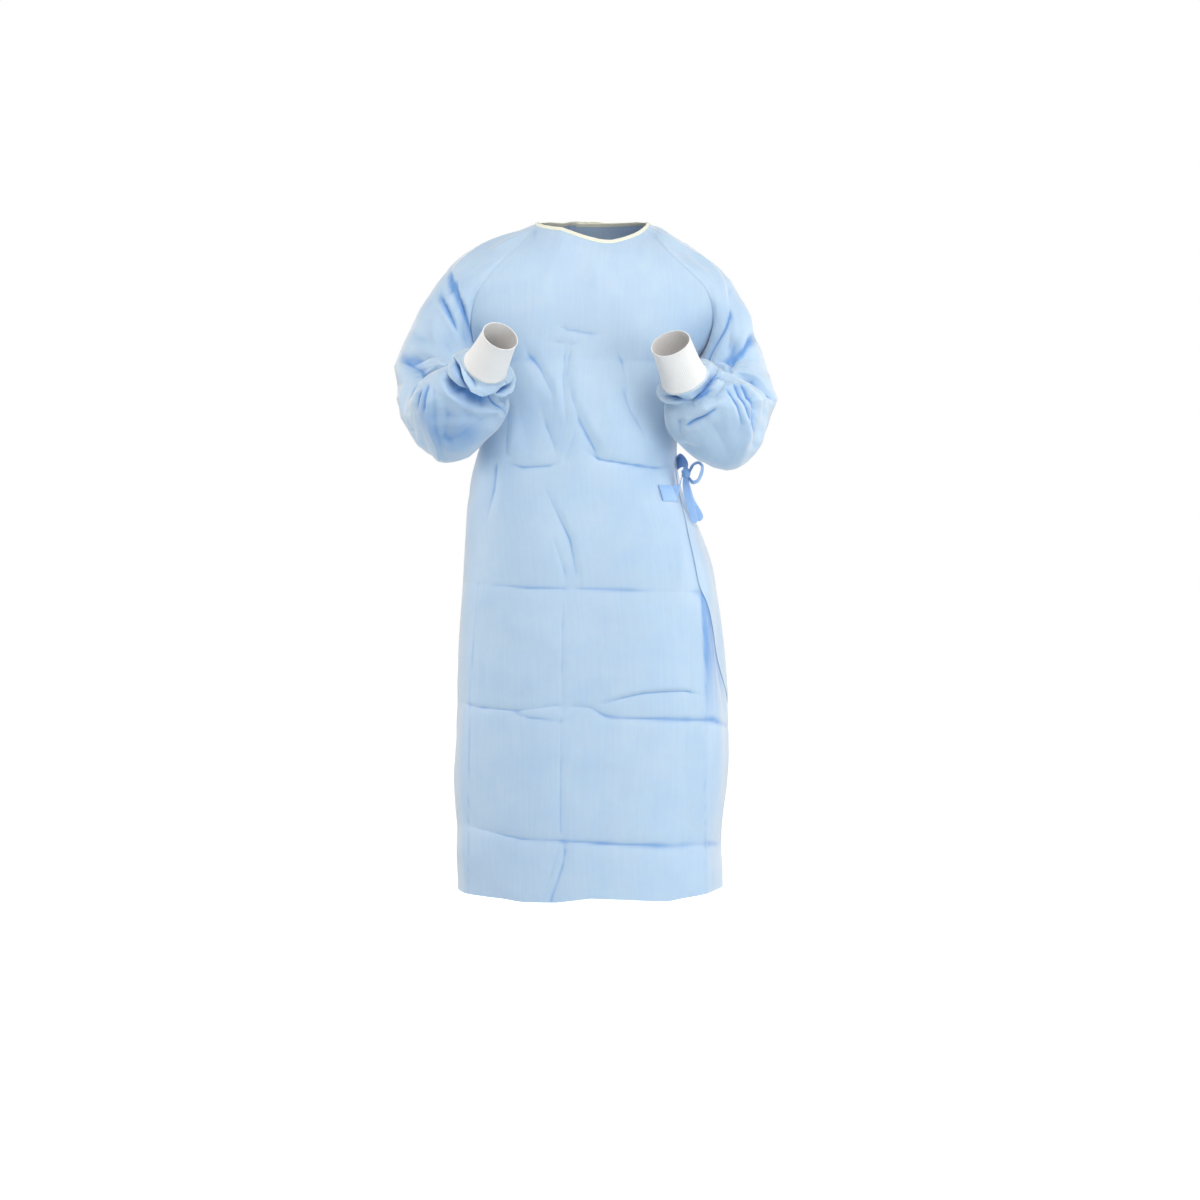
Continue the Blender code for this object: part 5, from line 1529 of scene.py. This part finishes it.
knotShape = {
    "place": (0.1610, -0.0460, -0.4330), "radii": (0.0078, 0.0082, 0.0102), "rows": 40, "columns": 56,
    "wraps": ((0.25, 0.16, 0.30), (-0.35, 0.14, -0.25), (0.75, 0.12, 0.10)), "dip": 0.10,
    "poles": 0.985, "squash": 0.05, "squashTurn": 0.6,
}


# a ball of cloth with the grooves between its wraps
def makeKnot():
    rise = np.linspace(-1, 1, knotShape["rows"])[:, None] * math.pi / 2 * knotShape["poles"]
    turn = np.linspace(-np.pi, np.pi, knotShape["columns"] + 1)[None, :-1]
    across, ahead, up = np.cos(rise) * np.cos(turn), np.cos(rise) * np.sin(turn), np.sin(rise) + 0 * turn
    size = 1 + knotShape["squash"] * np.cos(2 * turn + knotShape["squashTurn"]) * np.cos(rise)
    for level, spread, lean in knotShape["wraps"]:
        size = size - knotShape["dip"] * np.exp(-((up - level - lean * across) / spread) ** 2)
    ball = stacked(across, ahead, up) * size[..., None] * np.array(knotShape["radii"])
    return addLoft("tieKnot", ball + np.array(knotShape["place"]), tieCloth)


finishSheet(makeKnot(), "tie_knot")
print("tie made")


stitch = {"rings": 4, "segments": 6, "lift": 0.00015, "degrees": 0.4, "rowStep": 0.1}
# spacing, length, thread and wander of each kind of row
stitchRows = {
    "seam": (0.0042, 0.0028, 0.00036, 0.10), "binding": (0.0034, 0.0024, 0.00040, 0.08),
    "patch": (0.0017, 0.0023, 0.00100, 0.05), "cuff": (0.0030, 0.0026, 0.00050, 0.25),
}


# a row of stitches along a path: short threads with round ends, each a little out of line
def stitchTree():
    tree, given, made = addGroup(
        "stitchRow",
        (("Path", "Geometry", None), ("Spacing", "Float", 0.004), ("Stitch length", "Float", 0.003),
         ("Thread", "Float", 0.0004), ("Wander", "Float", 0.1), ("Seed", "Int", 5),
         ("Material", "Material", None)),
        (("Stitches", "Geometry"),), "GeometryNodeTree",
    )
    inputs = given.outputs
    path = addNode(tree, "GeometryNodeMeshToCurve", {"Mesh": inputs["Path"]}).outputs[0]
    spaced = addNode(tree, "GeometryNodeResampleCurve", {
        "Curve": path, "Length": inputs["Spacing"],
    }, mode="LENGTH").outputs[0]
    wander = addNode(tree, "FunctionNodeRandomValue", {"Seed": inputs["Seed"]}, data_type="FLOAT_VECTOR")
    tree.links.new(mathNode(tree, "MULTIPLY", inputs["Wander"], -1.0), wander.inputs["Min"])
    tree.links.new(inputs["Wander"], wander.inputs["Max"])
    tangent = addNode(tree, "GeometryNodeInputTangent").outputs[0]
    aim = addNode(tree, "ShaderNodeVectorMath", {0: tangent, 1: wander.outputs[0]}, operation="ADD").outputs[0]
    turned = addNode(tree, "FunctionNodeAlignRotationToVector", {"Vector": aim}, axis="Z").outputs[0]
    thread = addNode(tree, "GeometryNodeMeshUVSphere", {
        "Segments": stitch["segments"], "Rings": stitch["rings"], "Radius": 0.5,
    }).outputs["Mesh"]
    size = addNode(tree, "ShaderNodeCombineXYZ", {
        "X": inputs["Thread"], "Y": inputs["Thread"], "Z": inputs["Stitch length"],
    }).outputs[0]
    laid = addNode(tree, "GeometryNodeInstanceOnPoints", {
        "Points": spaced, "Instance": thread, "Rotation": turned, "Scale": size,
    }).outputs[0]
    real = addNode(tree, "GeometryNodeRealizeInstances", {"Geometry": laid}).outputs[0]
    smooth = addNode(tree, "GeometryNodeSetShadeSmooth", {"Geometry": real}).outputs[0]
    painted = addNode(tree, "GeometryNodeSetMaterial", {"Geometry": smooth, "Material": inputs["Material"]})
    tree.links.new(painted.outputs[0], made.inputs[0])
    return tree


stitchRow = stitchTree()


def addStitches(name, paths, kind, material):
    ends = np.cumsum([len(path) for path in paths])
    edges = [(i, i + 1) for i in range(int(ends[-1]) - 1) if i + 1 not in ends]
    mesh = bpy.data.meshes.new(name)
    mesh.from_pydata(np.concatenate(paths).tolist(), edges, [])
    piece = addObject(name, mesh)
    values = dict(zip(("Spacing", "Stitch length", "Thread", "Wander"), stitchRows[kind]))
    values.update({"Seed": len(paths), "Material": material})
    modifier = piece.modifiers.new("stitches", "NODES")
    modifier.node_group = stitchRow
    for item in stitchRow.interface.items_tree:
        if item.in_out == "INPUT" and item.name in values:
            modifier[item.identifier] = values[item.name]
    made = bpy.data.meshes.new_from_object(piece.evaluated_get(bpy.context.evaluated_depsgraph_get()))
    piece.modifiers.remove(modifier)
    piece.data = made
    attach(piece, "root")


# paths that lie on a surface: down it at one angle, or round it at one row
def pathDown(surface, rows, angle):
    points = surface(rows[:, None], angle + stitch["degrees"] * np.array((-1, 0, 1))[None, :])
    return points[:, 1] + gridNormals(points)[:, 1] * stitch["lift"]


def pathRound(surface, row, turns, outward):
    points = surface(row + stitch["rowStep"] * np.array((-1, 0, 1))[:, None], turns[None, :])
    return points[1] + gridNormals(points)[1] * stitch["lift"] * outward


seamStitches = {
    "beside": 0.9, "steps": 90, "sideSteps": 360, "yoke": (0.2, underarmRow - 0.05), "side": (0.25, 1.14),
    "wristSteps": 160, "wristRows": (0.22, 0.34),
}
beside = seamStitches["beside"]
yokeRows = np.linspace(*seamStitches["yoke"], seamStitches["steps"])
seamRows = rowOf(np.linspace(*seamStitches["side"], seamStitches["sideSteps"]))
raglans = [pathDown(surface, yokeRows, angle) for surface, angle in (
    (frontSurface, -90 + beside), (frontSurface, 90 - beside),
    (wrapSurface, 270 - beside), (underSurface, 90 + beside),
)]
addStitches("raglanStitches", raglans, "seam", blueThread)
addStitches("sideStitches", [pathDown(wrapSurface, seamRows, 270 - beside)], "seam", blueThread)
print("seam stitches made")

addStitches("bindingStitches", bindingSeams(), "binding", creamThread)

wrist = np.linspace(-1, 1, seamStitches["wristSteps"])
for side in ("right", "left"):
    wristSurface = lambda row, turn: sleeveSurface(side, row, turn)[0]
    rings = [pathRound(wristSurface, sleeve["lastRow"] - back, wrist, outwardOf[side])
             for back in seamStitches["wristRows"]]
    addStitches("cuffStitches" + side.capitalize(), rings, "cuff", creamThread)
print("wrist and binding stitches made")


# two short rows across the sewn end of the front strap: where along its rows, and how far in from its edges
patch = {"places": (0.10, 0.75), "inset": 0.86, "steps": 12}
patchPaths = []
for place in patch["places"]:
    at = np.array([np.interp(place, np.arange(len(frontRows)), column) for column in frontRows.T])
    middle, half = at[:3], at[3:] * patch["inset"]
    outward = unit(np.cross(frontRows[1, :3] - frontRows[0, :3], half))
    across = np.linspace(-1, 1, patch["steps"])[:, None]
    height = tie["thick"] / 2 + stitch["lift"] + tie["crown"] * (1 - across ** 2)
    patchPaths.append(middle + half * across + outward * np.sign(-outward[1]) * height)
addStitches("patchStitches", patchPaths[:1], "patch", navyThread)
addStitches("strapStitches", patchPaths[1:], "seam", blueThread)
print("stitches made")
